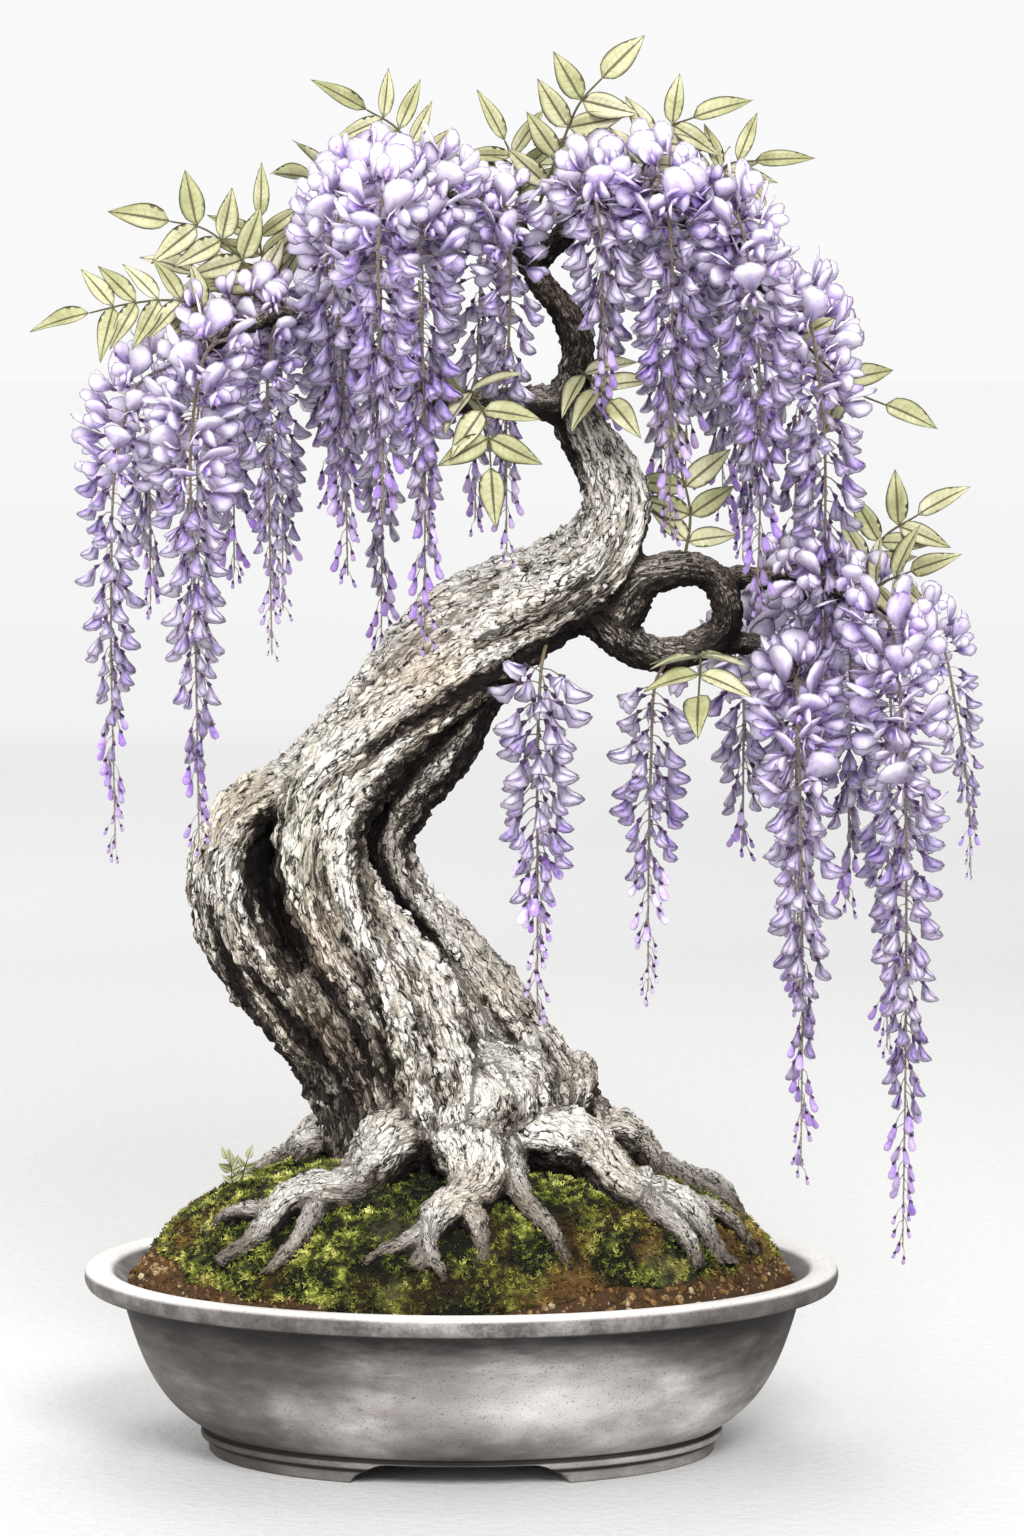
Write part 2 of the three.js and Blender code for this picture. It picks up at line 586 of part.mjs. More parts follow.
// A four-sided stem with a floret on each side between one level and the next.  The levels
// stand a little closer together towards the tip, and each is turned by half a side.
function raceme(own, seed, leafStalks) {
  const random = seeded(seed);
  const skin = new Skin();
  const stalk = 7;
  const tail = 5;
  const gathering = 0.12;
  const usable = own.length - stalk - tail;
  const placed = [];
  const levels = Math.max(3, Math.round(usable / floretGap));
  const shares = [0, stalk / own.length];
  for (let level = 1; level <= levels; level += 1) {
    const even = level / levels;
    const gathered = (1 + gathering) * even - gathering * even ** 2;
    shares.push((stalk + usable * gathered) / own.length);
  }
  const turn = (level) => level * (Math.PI / 4);
  const frames = framesAlong(evenly(own.curve), shares, vector(1, 0.2, 0.1));
  const offsetAt = (frame, angle, distance) => frame.across.clone()
    .multiplyScalar(Math.cos(angle) * distance)
    .addScaledVector(frame.up, Math.sin(angle) * distance);
  const rings = frames.map((frame, index) => {
    const share = shares[index];
    const radius = index === 0 ? 1.1 : mix(stemRadius, 0.9, share);
    return [0, 1, 2, 3].map((corner) => {
      const angle = (corner * Math.PI) / 2 + turn(index);
      return skin.point(offsetAt(frame, angle, radius).add(frame.centre));
    });
  });
  skin.quad(...[...rings[0]].reverse());
  for (let level = 0; level + 1 < rings.length; level += 1) {
    const top = frames[level];
    const below = frames[level + 1];
    const middle = top.centre.clone().lerp(below.centre, 0.5);
    const along = below.centre.clone().sub(top.centre).normalize();
    const bend = below.along.clone().sub(top.along);
    const share = (shares[level] + shares[level + 1]) / 2;
    for (let side = 0; side < 4; side += 1) {
      const next = (side + 1) % 4;
      const [a, b] = [rings[level][side], rings[level][next]];
      const [c, d] = [rings[level + 1][next], rings[level + 1][side]];
      const angle = ((side + 0.5) * Math.PI) / 2 + turn(level + 0.5) + 0.2 * (random() - 0.5);
      const out = offsetAt(top, angle, 1);
      out.addScaledVector(along, -out.dot(along)).normalize();
      const isInsideBend = out.dot(bend) > 0.12;
      const clear = (place) => (
        nearest(placed, place).distance > floretSpacing && cornerIsClear(place, middle, own, leafStalks)
      );
      const shape = share > budsFrom ? bud : openFloret;
      const reach = reachAt(share) * own.fullness * (0.9 + 0.2 * random());
      const isBare = level === 0 || isInsideBend;
      const corners = isBare ? null : settledFloret(shape, middle, along, out, reach, clear);
      placed.push(...(corners || []).map((corner) => ({ at: corner })));
      if (!corners) {
        skin.quad(a, b, c, d);
      } else if (shape === bud) {
        skin.fan(skin.point(corners[0]), [a, b, c, d]);
      } else {
        const [left, right, keel] = corners.map((corner) => skin.point(corner));
        skin.quad(a, b, right, left);
        skin.quad(b, c, keel, right);
        skin.triangle(c, d, keel);
        skin.quad(d, a, left, keel);
        skin.triangle(left, right, keel);
      }
    }
  }
  const end = frames.at(-1);
  const tip = end.centre.clone().addScaledVector(end.along, tail);
  skin.fan(skin.point(tip), rings.at(-1));
  return skin.geometry();
}

// ---------------------------------------------------------------- compound leaves

// Each leaf: the route of its stalk, the way its upper face looks and its pairs of leaflets.
const leaves = [
  // left, over the hanging racemes
  {
    pairs: 5, face: [0, -1, 0.5],
    route: [[-116, -14, 597], [-144, -23, 608], [-168, -27, 607], [-190, -29, 602]],
  },
  {
    pairs: 4, face: [0, -1, 0.3],
    route: [[-94, -4, 602], [-112, -6, 628], [-132, -8, 645], [-150, -8, 649]],
  },
  {
    pairs: 4, face: [0, -1, 0.1],
    route: [[-90, 0, 602], [-100, 2, 620], [-104, 4, 636], [-104, 6, 651]],
  },
  { pairs: 2, face: [0, -0.8, 1], route: [[-106, 6, 597], [-122, 12, 615], [-138, 12, 622]] },
  // top
  { pairs: 4, face: [0, -1, 0.4], route: [[-16, -14, 668], [-32, -10, 696], [-48, -10, 706]] },
  { pairs: 3, face: [0, -1, 0.1], route: [[31, 8, 656], [30, 14, 676], [23, 16, 691]] },
  {
    pairs: 4, face: [0, -1, 0.1],
    route: [[38, 2, 650], [53, -6, 690], [62, -10, 710], [73, -10, 722]],
  },
  { pairs: 3, face: [0, -1, 0.3], route: [[90, -14, 668], [106, -8, 696], [120, -8, 702]] },
  { pairs: 3, face: [0, -1, 0.3], route: [[124, -14, 660], [138, -8, 678], [152, -8, 680]] },
  // right
  {
    pairs: 2, face: [0, -1, 0.4],
    route: [[164, 2, 602], [192, 18, 574], [208, 16, 560], [222, 10, 554]],
  },
  { pairs: 3, face: [0, -1, 0.4], route: [[208, 10, 460], [222, 16, 484], [240, 16, 496]] },
  { pairs: 2, face: [0, -1, 0.5], route: [[212, 4, 456], [223, -4, 463], [234, -12, 468]] },
  { pairs: 3, face: [0, -0.5, 1], route: [[122, 6, 420], [124, -36, 424], [122, -64, 408]] },
  { pairs: 3, face: [0, -1, 0.2], route: [[116, -10, 471], [120, 4, 498], [114, 8, 524]] },
  // among the branches
  { pairs: 3, face: [0, -1, 0.2], route: [[0, -6, 553], [5, -42, 562], [12, -62, 545]] },
  { pairs: 2, face: [0, -1, 0.3], route: [[60, 0, 574], [68, -12, 567], [77, -25, 557]] },
  // behind
  { pairs: 3, face: [0, 1, 0.6], route: [[-44, 88, 650], [-62, 112, 668], [-82, 132, 674]] },
  { pairs: 3, face: [-0.4, 0.4, 1], route: [[60, 20, 656], [48, 56, 684], [46, 84, 690]] },
  { pairs: 3, face: [0, 1, 0.6], route: [[118, 76, 650], [134, 106, 668], [146, 130, 670]] },
  { pairs: 3, face: [0, 1, 0.6], route: [[-98, 62, 594], [-112, 96, 612], [-124, 122, 614]] },
];

function leafCurve(leaf) {
  const points = leaf.route.map(asVector);
  points[0] = startInWood(points[0], points[1]);
  return new THREE.CatmullRomCurve3(points);
}

// Corners of a leaflet's outline, and the middle of its upper and under side.
function leafletCorners(foot, ahead, aside, up, length, halfWidth) {
  const sag = -0.12 * length;
  const at = (forward, sideways, lift) => foot.clone()
    .addScaledVector(ahead, forward * length)
    .addScaledVector(aside, sideways * halfWidth)
    .addScaledVector(up, lift);
  return {
    front: [at(0.17, 0.68, 0), at(0.55, 1, 0.4 * sag)],
    rear: [at(0.17, -0.68, 0), at(0.55, -1, 0.4 * sag)],
    tip: at(1, 0, sag),
    top: at(0.42, 0, bladeThickness / 2 + 0.2 * sag),
    under: at(0.42, 0, -bladeThickness / 2 + 0.2 * sag),
  };
}

// Skins a leaflet that grows out of the stalk between two edge points, above the stalk's keel.
function addLeaflet(skin, corners, [rearEdge, frontEdge], keel) {
  const [front1, front2, tip, rear2, rear1, top, under] = [
    ...corners.front, corners.tip, corners.rear[1], corners.rear[0], corners.top, corners.under,
  ].map((corner) => skin.point(corner));
  skin.fan(top, [rearEdge, frontEdge, front1, front2, tip, rear2, rear1]);
  skin.fan(under, [...keel.slice(1), keel[0], rear1, rear2, tip, front2, front1]);
  skin.triangle(rearEdge, rear1, keel[0]);
  skin.triangle(front1, frontEdge, keel.at(-1));
}

function leafletIsClear(corners, crowd, placed) {
  const places = [...corners.front, ...corners.rear, corners.tip, corners.top];
  const [fromFlorets, fromLeaflets, fromWood] = [7, 4, 3];
  return places.every((place) => (
    nearest(crowd, place).distance > fromFlorets
    && nearest(placed, place).distance > fromLeaflets
    && nearest(wood, place).distance > fromWood
  ));
}

function leafFrames(leaf, curve, shares) {
  const face = asVector(leaf.face);
  return shares.map((share) => {
    const along = curve.getTangentAt(share);
    const up = face.clone().addScaledVector(along, -face.dot(along)).normalize();
    const side = vector(0, 0, 0).crossVectors(along, up);
    return { centre: curve.getPointAt(share), along, up, side };
  });
}

// A three-edged stalk with a pair of leaflets at every other cell and one at its end.
function compoundLeaf(leaf, seed, crowd) {
  const random = seeded(seed);
  const skin = new Skin();
  const curve = leafCurve(leaf);
  const length = curve.getLength();
  const halfCell = 1.8 / length;   // half of a leaflet's foot, as a share of the stalk
  const [firstPair, lastPair] = [0.24, 0.93];
  const step = (lastPair - firstPair) / (leaf.pairs - 0.4);
  const halfWidth = Math.min(leafletHalfWidth, 0.39 * step * length);
  const shares = [0];
  for (let pair = 0; pair < leaf.pairs; pair += 1) {
    const share = firstPair + pair * step;
    shares.push(share - halfCell, share + halfCell);
  }
  shares.push(1);
  const frames = leafFrames(leaf, curve, shares);
  const offset = (centre, direction, by) => skin.point(centre.clone().addScaledVector(direction, by));
  const left = frames.map(({ centre, side }) => offset(centre, side, -leafStalkHalfWidth));
  const right = frames.map(({ centre, side }) => offset(centre, side, leafStalkHalfWidth));
  const keel = frames.map(({ centre, up }) => offset(centre, up, -leafStalkDepth));
  const last = frames.length - 1;
  const end = frames[last];
  const tipCorners = leafletCorners(end.centre, end.along, end.side, end.up, leafletLength, halfWidth);
  const placed = [...tipCorners.front, ...tipCorners.rear, tipCorners.tip].map((at) => ({ at }));

  // A leaflet of the largest size that clears what is round it, or null.
  const settledLeaflet = (foot, ahead, aside, up, fullSize) => {
    for (let size = fullSize; size > 0.55 * fullSize; size *= 0.88) {
      const width = (halfWidth * size) / leafletLength;
      const corners = leafletCorners(foot, ahead, aside, up, size, width);
      if (leafletIsClear(corners, crowd, placed)) {
        return corners;
      }
    }
    return null;
  };

  skin.triangle(right[0], left[0], keel[0]);
  for (let i = 0; i < last; i += 1) {
    const next = i + 1;
    const { along, up, side } = frames[i];
    const middle = frames[i].centre.clone().lerp(frames[next].centre, 0.5);
    const isPair = i % 2 === 1;
    skin.quad(left[i], right[i], right[next], left[next]);
    for (const sign of [-1, 1]) {
      const lean = 0.9 + 0.2 * random();
      const size = leafletLength * (0.85 + 0.15 * shares[i]) * (0.92 + 0.16 * random());
      const ahead = along.clone().multiplyScalar(Math.cos(lean));
      ahead.addScaledVector(side, sign * Math.sin(lean));
      const aside = along.clone().multiplyScalar(Math.sin(lean));
      aside.addScaledVector(side, -sign * Math.cos(lean));
      const foot = middle.clone().addScaledVector(side, sign * leafStalkHalfWidth);
      const corners = isPair && settledLeaflet(foot, ahead, aside, up, size);
      const [a, b] = sign < 0 ? [i, next] : [next, i];
      const edge = sign < 0 ? left : right;
      if (corners) {
        const { front, rear } = corners;
        const turned = sign < 0 ? corners : { ...corners, front: rear, rear: front };
        placed.push(...[...front, ...rear, corners.tip].map((at) => ({ at })));
        addLeaflet(skin, turned, [edge[a], edge[b]], [keel[a], keel[b]]);
      } else {
        skin.quad(edge[a], edge[b], keel[b], keel[a]);
      }
    }
  }
  addLeaflet(skin, tipCorners, [left[last], right[last]], [keel[last]]);
  return skin.geometry();
}

// ---------------------------------------------------------------- the whole plant

const group = new THREE.Group();
const plant = new THREE.Group();
plant.position.set(potMiddle[0], potMiddle[1], 0);
group.add(plant);

function addPiece(name, geometry, color, roughness) {
  const material = new THREE.MeshStandardMaterial({ color, roughness, metalness: 0 });
  const mesh = new THREE.Mesh(geometry, material);
  mesh.name = name;
  plant.add(mesh);
}

const number = (i) => String(i + 1).padStart(2, '0');
const hollow = trunkSolid(fit);
const clearOfTrunk = (geometry) => fromSolid(toSolid(geometry).subtract(hollow));
const leafStalks = leaves.flatMap((leaf) => {
  const curve = leafCurve(leaf);
  const count = Math.ceil(curve.getLength() / 5);
  return Array.from({ length: count + 1 }, (_, i) => ({ at: curve.getPointAt(i / count) }));
});

addPiece('pot', pot(), 0x8d8a86, 0.75);
addPiece('soil', clearOfTrunk(soilBody()), 0x4a3a2c, 0.95);
addPiece('moss', clearOfTrunk(mossBody()), 0x6f7a35, 1);
addPiece('trunk', fromSolid(trunkSolid(0)), 0x8a7d6e, 0.9);

const floretCrowd = [];
racemeStems.forEach((stem, i) => {
  const geometry = raceme(stem, 100 + i, leafStalks);
  const position = geometry.attributes.position;
  const corners = Array.from({ length: position.count }, (_, corner) => (
    vector(0, 0, 0).fromBufferAttribute(position, corner)));
  corners.forEach((corner) => floretCrowd.push({ at: corner }));
  for (let face = 0; face < geometry.index.count; face += 3) {
    const [a, b, c] = [0, 1, 2].map((k) => corners[geometry.index.getX(face + k)]);
    floretCrowd.push({ at: a.clone().add(b).add(c).divideScalar(3) });
  }
  addPiece(`raceme_${number(i)}`, clearOfTrunk(geometry), 0x9a83c9, 0.6);
});
leaves.forEach((leaf, i) => {
  addPiece(`leaf_${number(i)}`, clearOfTrunk(compoundLeaf(leaf, 300 + i, floretCrowd)), 0x93a04a, 0.7);
});

export default group;
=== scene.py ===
# Wisteria bonsai in an oval stoneware pot.
#
# Metres, +Z up.  The pot's feet stand on z = 0 and the show side faces -Y.  Routes are written in
# millimetres from the middle of the pot, as a grower would wire them.

import functools
import math
import random

import bmesh
import bpy
import numpy as np
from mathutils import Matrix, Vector
from mathutils.bvhtree import BVHTree


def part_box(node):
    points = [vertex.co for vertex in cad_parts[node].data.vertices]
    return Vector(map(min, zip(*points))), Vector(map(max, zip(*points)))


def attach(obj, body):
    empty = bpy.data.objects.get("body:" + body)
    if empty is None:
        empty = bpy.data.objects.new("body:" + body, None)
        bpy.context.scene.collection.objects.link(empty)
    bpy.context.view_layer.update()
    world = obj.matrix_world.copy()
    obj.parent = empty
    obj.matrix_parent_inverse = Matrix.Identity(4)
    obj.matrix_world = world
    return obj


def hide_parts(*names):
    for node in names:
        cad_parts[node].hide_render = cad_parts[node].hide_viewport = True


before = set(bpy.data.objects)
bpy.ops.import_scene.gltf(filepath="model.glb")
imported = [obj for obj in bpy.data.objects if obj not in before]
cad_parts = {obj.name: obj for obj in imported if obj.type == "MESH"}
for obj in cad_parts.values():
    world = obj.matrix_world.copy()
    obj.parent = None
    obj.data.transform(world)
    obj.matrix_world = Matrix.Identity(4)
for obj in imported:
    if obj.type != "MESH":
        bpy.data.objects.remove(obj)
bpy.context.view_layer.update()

# ---------------------------------------------------------------- camera and studio
#
# The plant stands alone on a wide sheet of pale paper.  A large soft lamp lights it from the
# front and above, and weaker ones fill in from the left, the top and the back.

scene = bpy.context.scene
mm = 0.001
pot_low, pot_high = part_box("pot")
pot_middle = np.array([(pot_low.x + pot_high.x) / 2, (pot_low.y + pot_high.y) / 2, 0.0])

camera_distance = 2.4
camera_pitch = math.radians(6)
camera_lens, camera_sensor, camera_reach = 107.1, 36, 30
camera_aim = Vector(pot_middle) + Vector((0.0268, 0, 0.364))
daylight = 0.95
camera = bpy.data.objects.new("camera", bpy.data.cameras.new("camera"))
camera.data.sensor_width = camera_sensor
camera.data.lens = camera_lens
camera.data.clip_end = camera_reach
back = Vector((0, -math.cos(camera_pitch), math.sin(camera_pitch)))
camera.location = camera_aim + back * camera_distance
camera.rotation_euler = (math.pi / 2 - camera_pitch, 0, 0)
scene.collection.objects.link(camera)
scene.camera = camera
scene.view_settings.view_transform = "Standard"


def put(tree, kind, values=None, out=0, **settings):
    """Adds a node, fills its inputs with numbers or links, and returns one of its outputs."""
    node = tree.nodes.new(kind)
    for name, value in settings.items():
        setattr(node, name, value)
    for key, value in (values or {}).items():
        shown = [socket for socket in node.inputs if socket.enabled]
        socket = shown[key] if isinstance(key, int) else next(s for s in shown if s.name == key)
        if isinstance(value, bpy.types.NodeSocket):
            tree.links.new(value, socket)
        else:
            socket.default_value = value
    shown = [socket for socket in node.outputs if socket.enabled]
    return shown[out] if isinstance(out, int) else next(s for s in shown if s.name == out)


def paint(red, green, blue):
    """A colour as mixed on a screen, 0 to 255, turned into the light it reflects."""
    shares = (red / 255, green / 255, blue / 255)
    return (*(c / 12.92 if c < 0.04 else ((c + 0.055) / 1.055) ** 2.4 for c in shares), 1.0)


class Nodes:
    """A node tree, with short names for the nodes that it needs most."""

    def put(self, kind, values=None, out=0, **settings):
        return put(self.tree, kind, values, out, **settings)

    def math(self, operation, *values):
        return self.put("ShaderNodeMath", dict(enumerate(values)), operation=operation)

    def plus(self, *values):
        return functools.reduce(lambda a, b: self.math("ADD", a, b), values)

    def minus(self, a, b):
        return self.math("SUBTRACT", a, b)

    def times(self, *values):
        return functools.reduce(lambda a, b: self.math("MULTIPLY", a, b), values)

    def above(self, value, limit):
        """1 where the value is over the limit, and 0 elsewhere."""
        return self.math("GREATER_THAN", value, limit)

    def spread(self, value, low, high, to_low=0.0, to_high=1.0):
        """The value's way from low to high, as a number from to_low to to_high."""
        return self.put("ShaderNodeMapRange", {0: value, 1: low, 2: high, 3: to_low, 4: to_high})

    def axis(self, vector, name):
        return self.put("ShaderNodeSeparateXYZ", {0: vector}, name)


class Finish(Nodes):
    """A material with one Principled shader, whose plain sockets are set by name."""

    def __init__(self, name, **sockets):
        self.material = bpy.data.materials.new(name)
        self.material.use_nodes = True
        self.tree = self.material.node_tree
        self.tree.nodes.clear()
        self.shader = self.tree.nodes.new("ShaderNodeBsdfPrincipled")
        output = self.tree.nodes.new("ShaderNodeOutputMaterial")
        self.tree.links.new(self.shader.outputs[0], output.inputs[0])
        for socket, value in sockets.items():
            self.shader.inputs[socket.replace("_", " ")].default_value = value
        self.place = self.put("ShaderNodeTexCoord", out="Object")

    def attribute(self, name, out="Fac"):
        return self.put("ShaderNodeAttribute", {}, out, attribute_name=name)

    def mix(self, factor, a, b, kind="MIX"):
        return self.put("ShaderNodeMix", {"Factor": factor, "A": a, "B": b}, data_type="RGBA",
                        blend_type=kind)

    def cover(self, colour, mask, strength, over, kind="MIX"):
        """Lays a second colour over the first where the mask is, up to a given strength."""
        return self.mix(self.times(mask, strength), colour, over, kind)

    def noise(self, scale, detail=3.0, roughness=0.55, at=None, out=0):
        values = {"Vector": at or self.place, "Scale": scale, "Detail": detail,
                  "Roughness": roughness}
        return self.put("ShaderNodeTexNoise", values, out)

    def stretched(self, x, y, z, at=None):
        return self.put("ShaderNodeMapping", {"Vector": at or self.place, "Scale": (x, y, z)})

    def ramp(self, factor, stops):
        node = self.tree.nodes.new("ShaderNodeValToRGB")
        elements = node.color_ramp.elements
        while len(elements) < len(stops):
            elements.new(0.5)
        for element, (position, colour) in zip(elements, stops):
            element.position = position
            element.color = colour
        self.tree.links.new(factor, node.inputs[0])
        return node.outputs[0]

    def wear(self, colour, roughness=None, height=None, depth=0.0005, strength=1.0):
        """Feeds the shader its colour, roughness and relief."""
        self.tree.links.new(colour, self.shader.inputs["Base Color"])
        if roughness is not None:
            self.tree.links.new(roughness, self.shader.inputs["Roughness"])
        if height is not None:
            bump = self.put("ShaderNodeBump", {"Strength": strength, "Distance": depth,
                                               "Height": height}, "Normal")
            self.tree.links.new(bump, self.shader.inputs["Normal"])
        return self.material


def new_piece(name, mesh, material=None):
    piece = bpy.data.objects.new(name, mesh)
    scene.collection.objects.link(piece)
    if material:
        mesh.materials.clear()
        mesh.materials.append(material)
    return piece


def new_mesh(name, points, faces):
    mesh = bpy.data.meshes.new(name)
    mesh.from_pydata(points, [], faces)
    return mesh


def build_floor():
    """One sheet, so wide that it meets the pale light round it without an edge."""
    half_side = 28.0
    corners = [(x * half_side, y * half_side, 0.0) for x, y in ((-1, -1), (1, -1), (1, 1), (-1, 1))]
    mesh = new_mesh("paper_floor", corners, [(0, 1, 2, 3)])
    paper = Finish("pale_paper", Roughness=0.95)
    tooth = paper.noise(160.0, 4.0, 0.6)
    # The lamps light the paper near the plant.  Farther off it is paler, to look as bright.
    away = paper.put("ShaderNodeVectorMath", {0: paper.place}, "Value", operation="LENGTH")
    colour = paper.ramp(paper.spread(away, 0.0, 12.0), [
        (0.02, paint(190, 190, 189)), (0.073, paint(187, 187, 186)), (0.148, paint(187, 187, 187)),
        (0.224, paint(203, 203, 203)), (0.343, paint(236, 236, 236)), (0.554, paint(247, 247, 247)),
        (1.0, paint(252, 252, 252)),
    ])
    rough = paper.times(tooth, paper.spread(away, 1.0, 5.0, 0.3, 0.0))
    colour = paper.mix(rough, colour, paint(186, 186, 185), "MULTIPLY")
    return new_piece("paper_floor", mesh,
                     paper.wear(colour, height=tooth, depth=0.002, strength=0.5))


build_floor()


def add_lamp(name, place, size, power):
    lamp = bpy.data.lights.new(name, "AREA")
    lamp.size = size
    lamp.energy = power
    holder = bpy.data.objects.new(name, lamp)
    holder.location = camera_aim + Vector(place)
    holder.rotation_euler = (-Vector(place)).to_track_quat("-Z", "Y").to_euler()
    scene.collection.objects.link(holder)


add_lamp("key_lamp", (0.5, -2.2, 1.65), 1.1, 94)
add_lamp("fill_lamp", (-2.2, -1.4, 0.7), 1.8, 40)
add_lamp("top_lamp", (0.1, 0.7, 2.4), 1.6, 36)
add_lamp("back_lamp", (-1.0, 2.2, 1.5), 1.6, 18)

scene.world = bpy.data.worlds.new("studio")
scene.world.use_nodes = True
sky = scene.world.node_tree.nodes["Background"].inputs
sky["Color"].default_value = (1, 1, 1, 1)
sky["Strength"].default_value = daylight

# ---------------------------------------------------------------- pot
#
# An oval bonsai pot, pressed in grey stoneware and fired without glaze.  Its foot ring is cut
# away front and back, so that it stands on a left and a right foot, and its floor has two holes.

foot_half_length, foot_half_depth = 136, 84
rim_half_length, rim_half_depth = 200, 132
oval_sides = 272
drain_radius, drain_from_middle = 9, 62
lip_underside = 0.0878


def half_depth_at(half_length):
    """The oval grows rounder from the foot to the rim."""
    share = (half_length - foot_half_length) / (rim_half_length - foot_half_length)
    return np.where(half_length < foot_half_length,
                    foot_half_depth * half_length / foot_half_length,
                    foot_half_depth + share * (rim_half_depth - foot_half_depth))


def softened(corners, steps=4):
    """Rounds each [half length, height, radius] corner of a profile."""
    profile = []
    for i, (x, z, radius) in enumerate(corners):
        here = np.array((x, z), float)
        if not radius:
            profile.append(here)
            continue
        ends = []
        for other in (corners[i - 1], corners[i + 1]):
            away = np.array(other[:2], float) - here
            distance = np.linalg.norm(away)
            ends.append(here + away / distance * min(radius, distance / 2))
        for t in np.linspace(0, 1, steps + 1):
            profile.append((1 - t) ** 2 * ends[0] + 2 * t * (1 - t) * here + t ** 2 * ends[1])
    return profile


def oval_lathe(profile, sides=oval_sides):
    """Points and faces of an oval shell.  Its profile starts and ends at the middle."""
    angles = np.linspace(0, 2 * math.pi, sides, endpoint=False)
    points, rings = [], []
    for half_length, height in profile:
        start = len(points)
        if half_length < 0.001:
            points.append((0, 0, height))
            rings.append([start] * sides)
        else:
            half_depth = float(half_depth_at(half_length))
            points += [(half_length * math.cos(a), half_depth * math.sin(a), height)
                       for a in angles]
            rings.append(list(range(start, start + sides)))
    faces = []
    for low, high in zip(rings, rings[1:]):
        for i in range(sides):
            after = (i + 1) % sides
            faces.append(tuple(dict.fromkeys((low[i], low[after], high[after], high[i]))))
    return np.array(points), faces


def mesh_at_pot(name, points, faces, smooth=True):
    """A mesh from points in millimetres from the middle of the pot."""
    mesh = new_mesh(name, (points * mm + pot_middle).tolist(), faces)
    if smooth:
        mesh.shade_smooth()
    return mesh


def plain_mesh(piece, name):
    """The piece as its modifiers leave it, as a mesh of its own."""
    graph = bpy.context.evaluated_depsgraph_get()
    mesh = bpy.data.meshes.new_from_object(piece.evaluated_get(graph), depsgraph=graph)
    mesh.name = name
    bpy.data.objects.remove(piece)
    return mesh


def build_pot():
    smooth = 99
    points, faces = oval_lathe(softened([
        (0, 12, 0), (117, 12, 2), (119.6, 0, 1.5), (134.6, 0, 1.4), (135.2, 7.0, 1.2),
        (139, 8.4, 1), (139, 11.6, 1), (135.6, 12.8, 0.8), (138.6, 14.8, 1), (146, 19.5, smooth),
        (155.5, 28, smooth), (163.5, 39, smooth), (170, 52, smooth), (175.3, 67, smooth),
        (179, 80, smooth), (181.4, 87, 2), (197.6, 88.2, 2.4), (200, 92.5, 2.5), (200, 97.2, 2.5),
        (197.5, 100, 2.2), (187.5, 99.4, 3.5), (177, 92, 3), (172, 86, 4), (163, 61, smooth),
        (153, 42, smooth), (141, 29, smooth),
        (128, 22.4, 5), (0, 22, 0),
    ]))
    # The bracket-shaped openings between the feet.
    opening = np.interp(np.abs(points[:, 0]), [0, 40, 46, 49.5, 54, 56], [10.5, 10.5, 8.8, 6, 5, 0])
    low = points[:, 2] < 14
    points[low, 2] = np.maximum(points[low, 2], opening[low] + 0.1 * points[low, 2])
    pot = new_piece("pot_blank", mesh_at_pot("pot_blank", points, faces))

    rod_points, rod_faces = [], []
    for side in (-1, 1):
        start = len(rod_points)
        sides = 28
        for height in (8, 26):
            for i in range(sides):
                turn = 2 * math.pi * i / sides
                rod_points.append((side * drain_from_middle + drain_radius * math.cos(turn),
                                   drain_radius * math.sin(turn), height))
        rod_faces += [(start + i, start + (i + 1) % sides, start + sides + (i + 1) % sides,
                       start + sides + i) for i in range(sides)]
        rod_faces.append(tuple(reversed(range(start, start + sides))))
        rod_faces.append(tuple(range(start + sides, start + 2 * sides)))
    rods = new_piece("drain_rods",
                     mesh_at_pot("drain_rods", np.array(rod_points, float), rod_faces))
    cut = pot.modifiers.new("drain_holes", "BOOLEAN")
    cut.operation = "DIFFERENCE"
    cut.object = rods
    mesh = plain_mesh(pot, "oval_pot")
    bpy.data.objects.remove(rods)
    return mesh


def mottling():
    """Blotches and specks, as in fired clay, old bark or crumbly soil.  Both masks run 0 to 1."""
    group = bpy.data.node_groups.new("mottling", "ShaderNodeTree")
    group.interface.new_socket("Vector", in_out="INPUT", socket_type="NodeSocketVector")
    for name in ("Blotch Scale", "Speck Scale", "Speck Share"):
        group.interface.new_socket(name, in_out="INPUT", socket_type="NodeSocketFloat")
    for name in ("Blotches", "Specks"):
        group.interface.new_socket(name, in_out="OUTPUT", socket_type="NodeSocketFloat")
    given = group.nodes.new("NodeGroupInput").outputs
    result = group.nodes.new("NodeGroupOutput").inputs
    blotches = put(group, "ShaderNodeTexNoise",
                   {"Vector": given["Vector"], "Scale": given["Blotch Scale"], "Detail": 5.0,
                    "Roughness": 0.62})
    blotches = put(group, "ShaderNodeMapRange", {0: blotches, 1: 0.32, 2: 0.68})
    specks = put(group, "ShaderNodeTexNoise",
                 {"Vector": given["Vector"], "Scale": given["Speck Scale"], "Detail": 2.0,
                  "Roughness": 0.5})
    wide = put(group, "ShaderNodeMath", {0: given["Speck Share"], 1: 0.06}, operation="ADD")
    specks = put(group, "ShaderNodeMapRange", {0: specks, 1: given["Speck Share"], 2: wide})
    group.links.new(blotches, result[0])
    group.links.new(specks, result[1])
    return group


mottling_group = mottling()


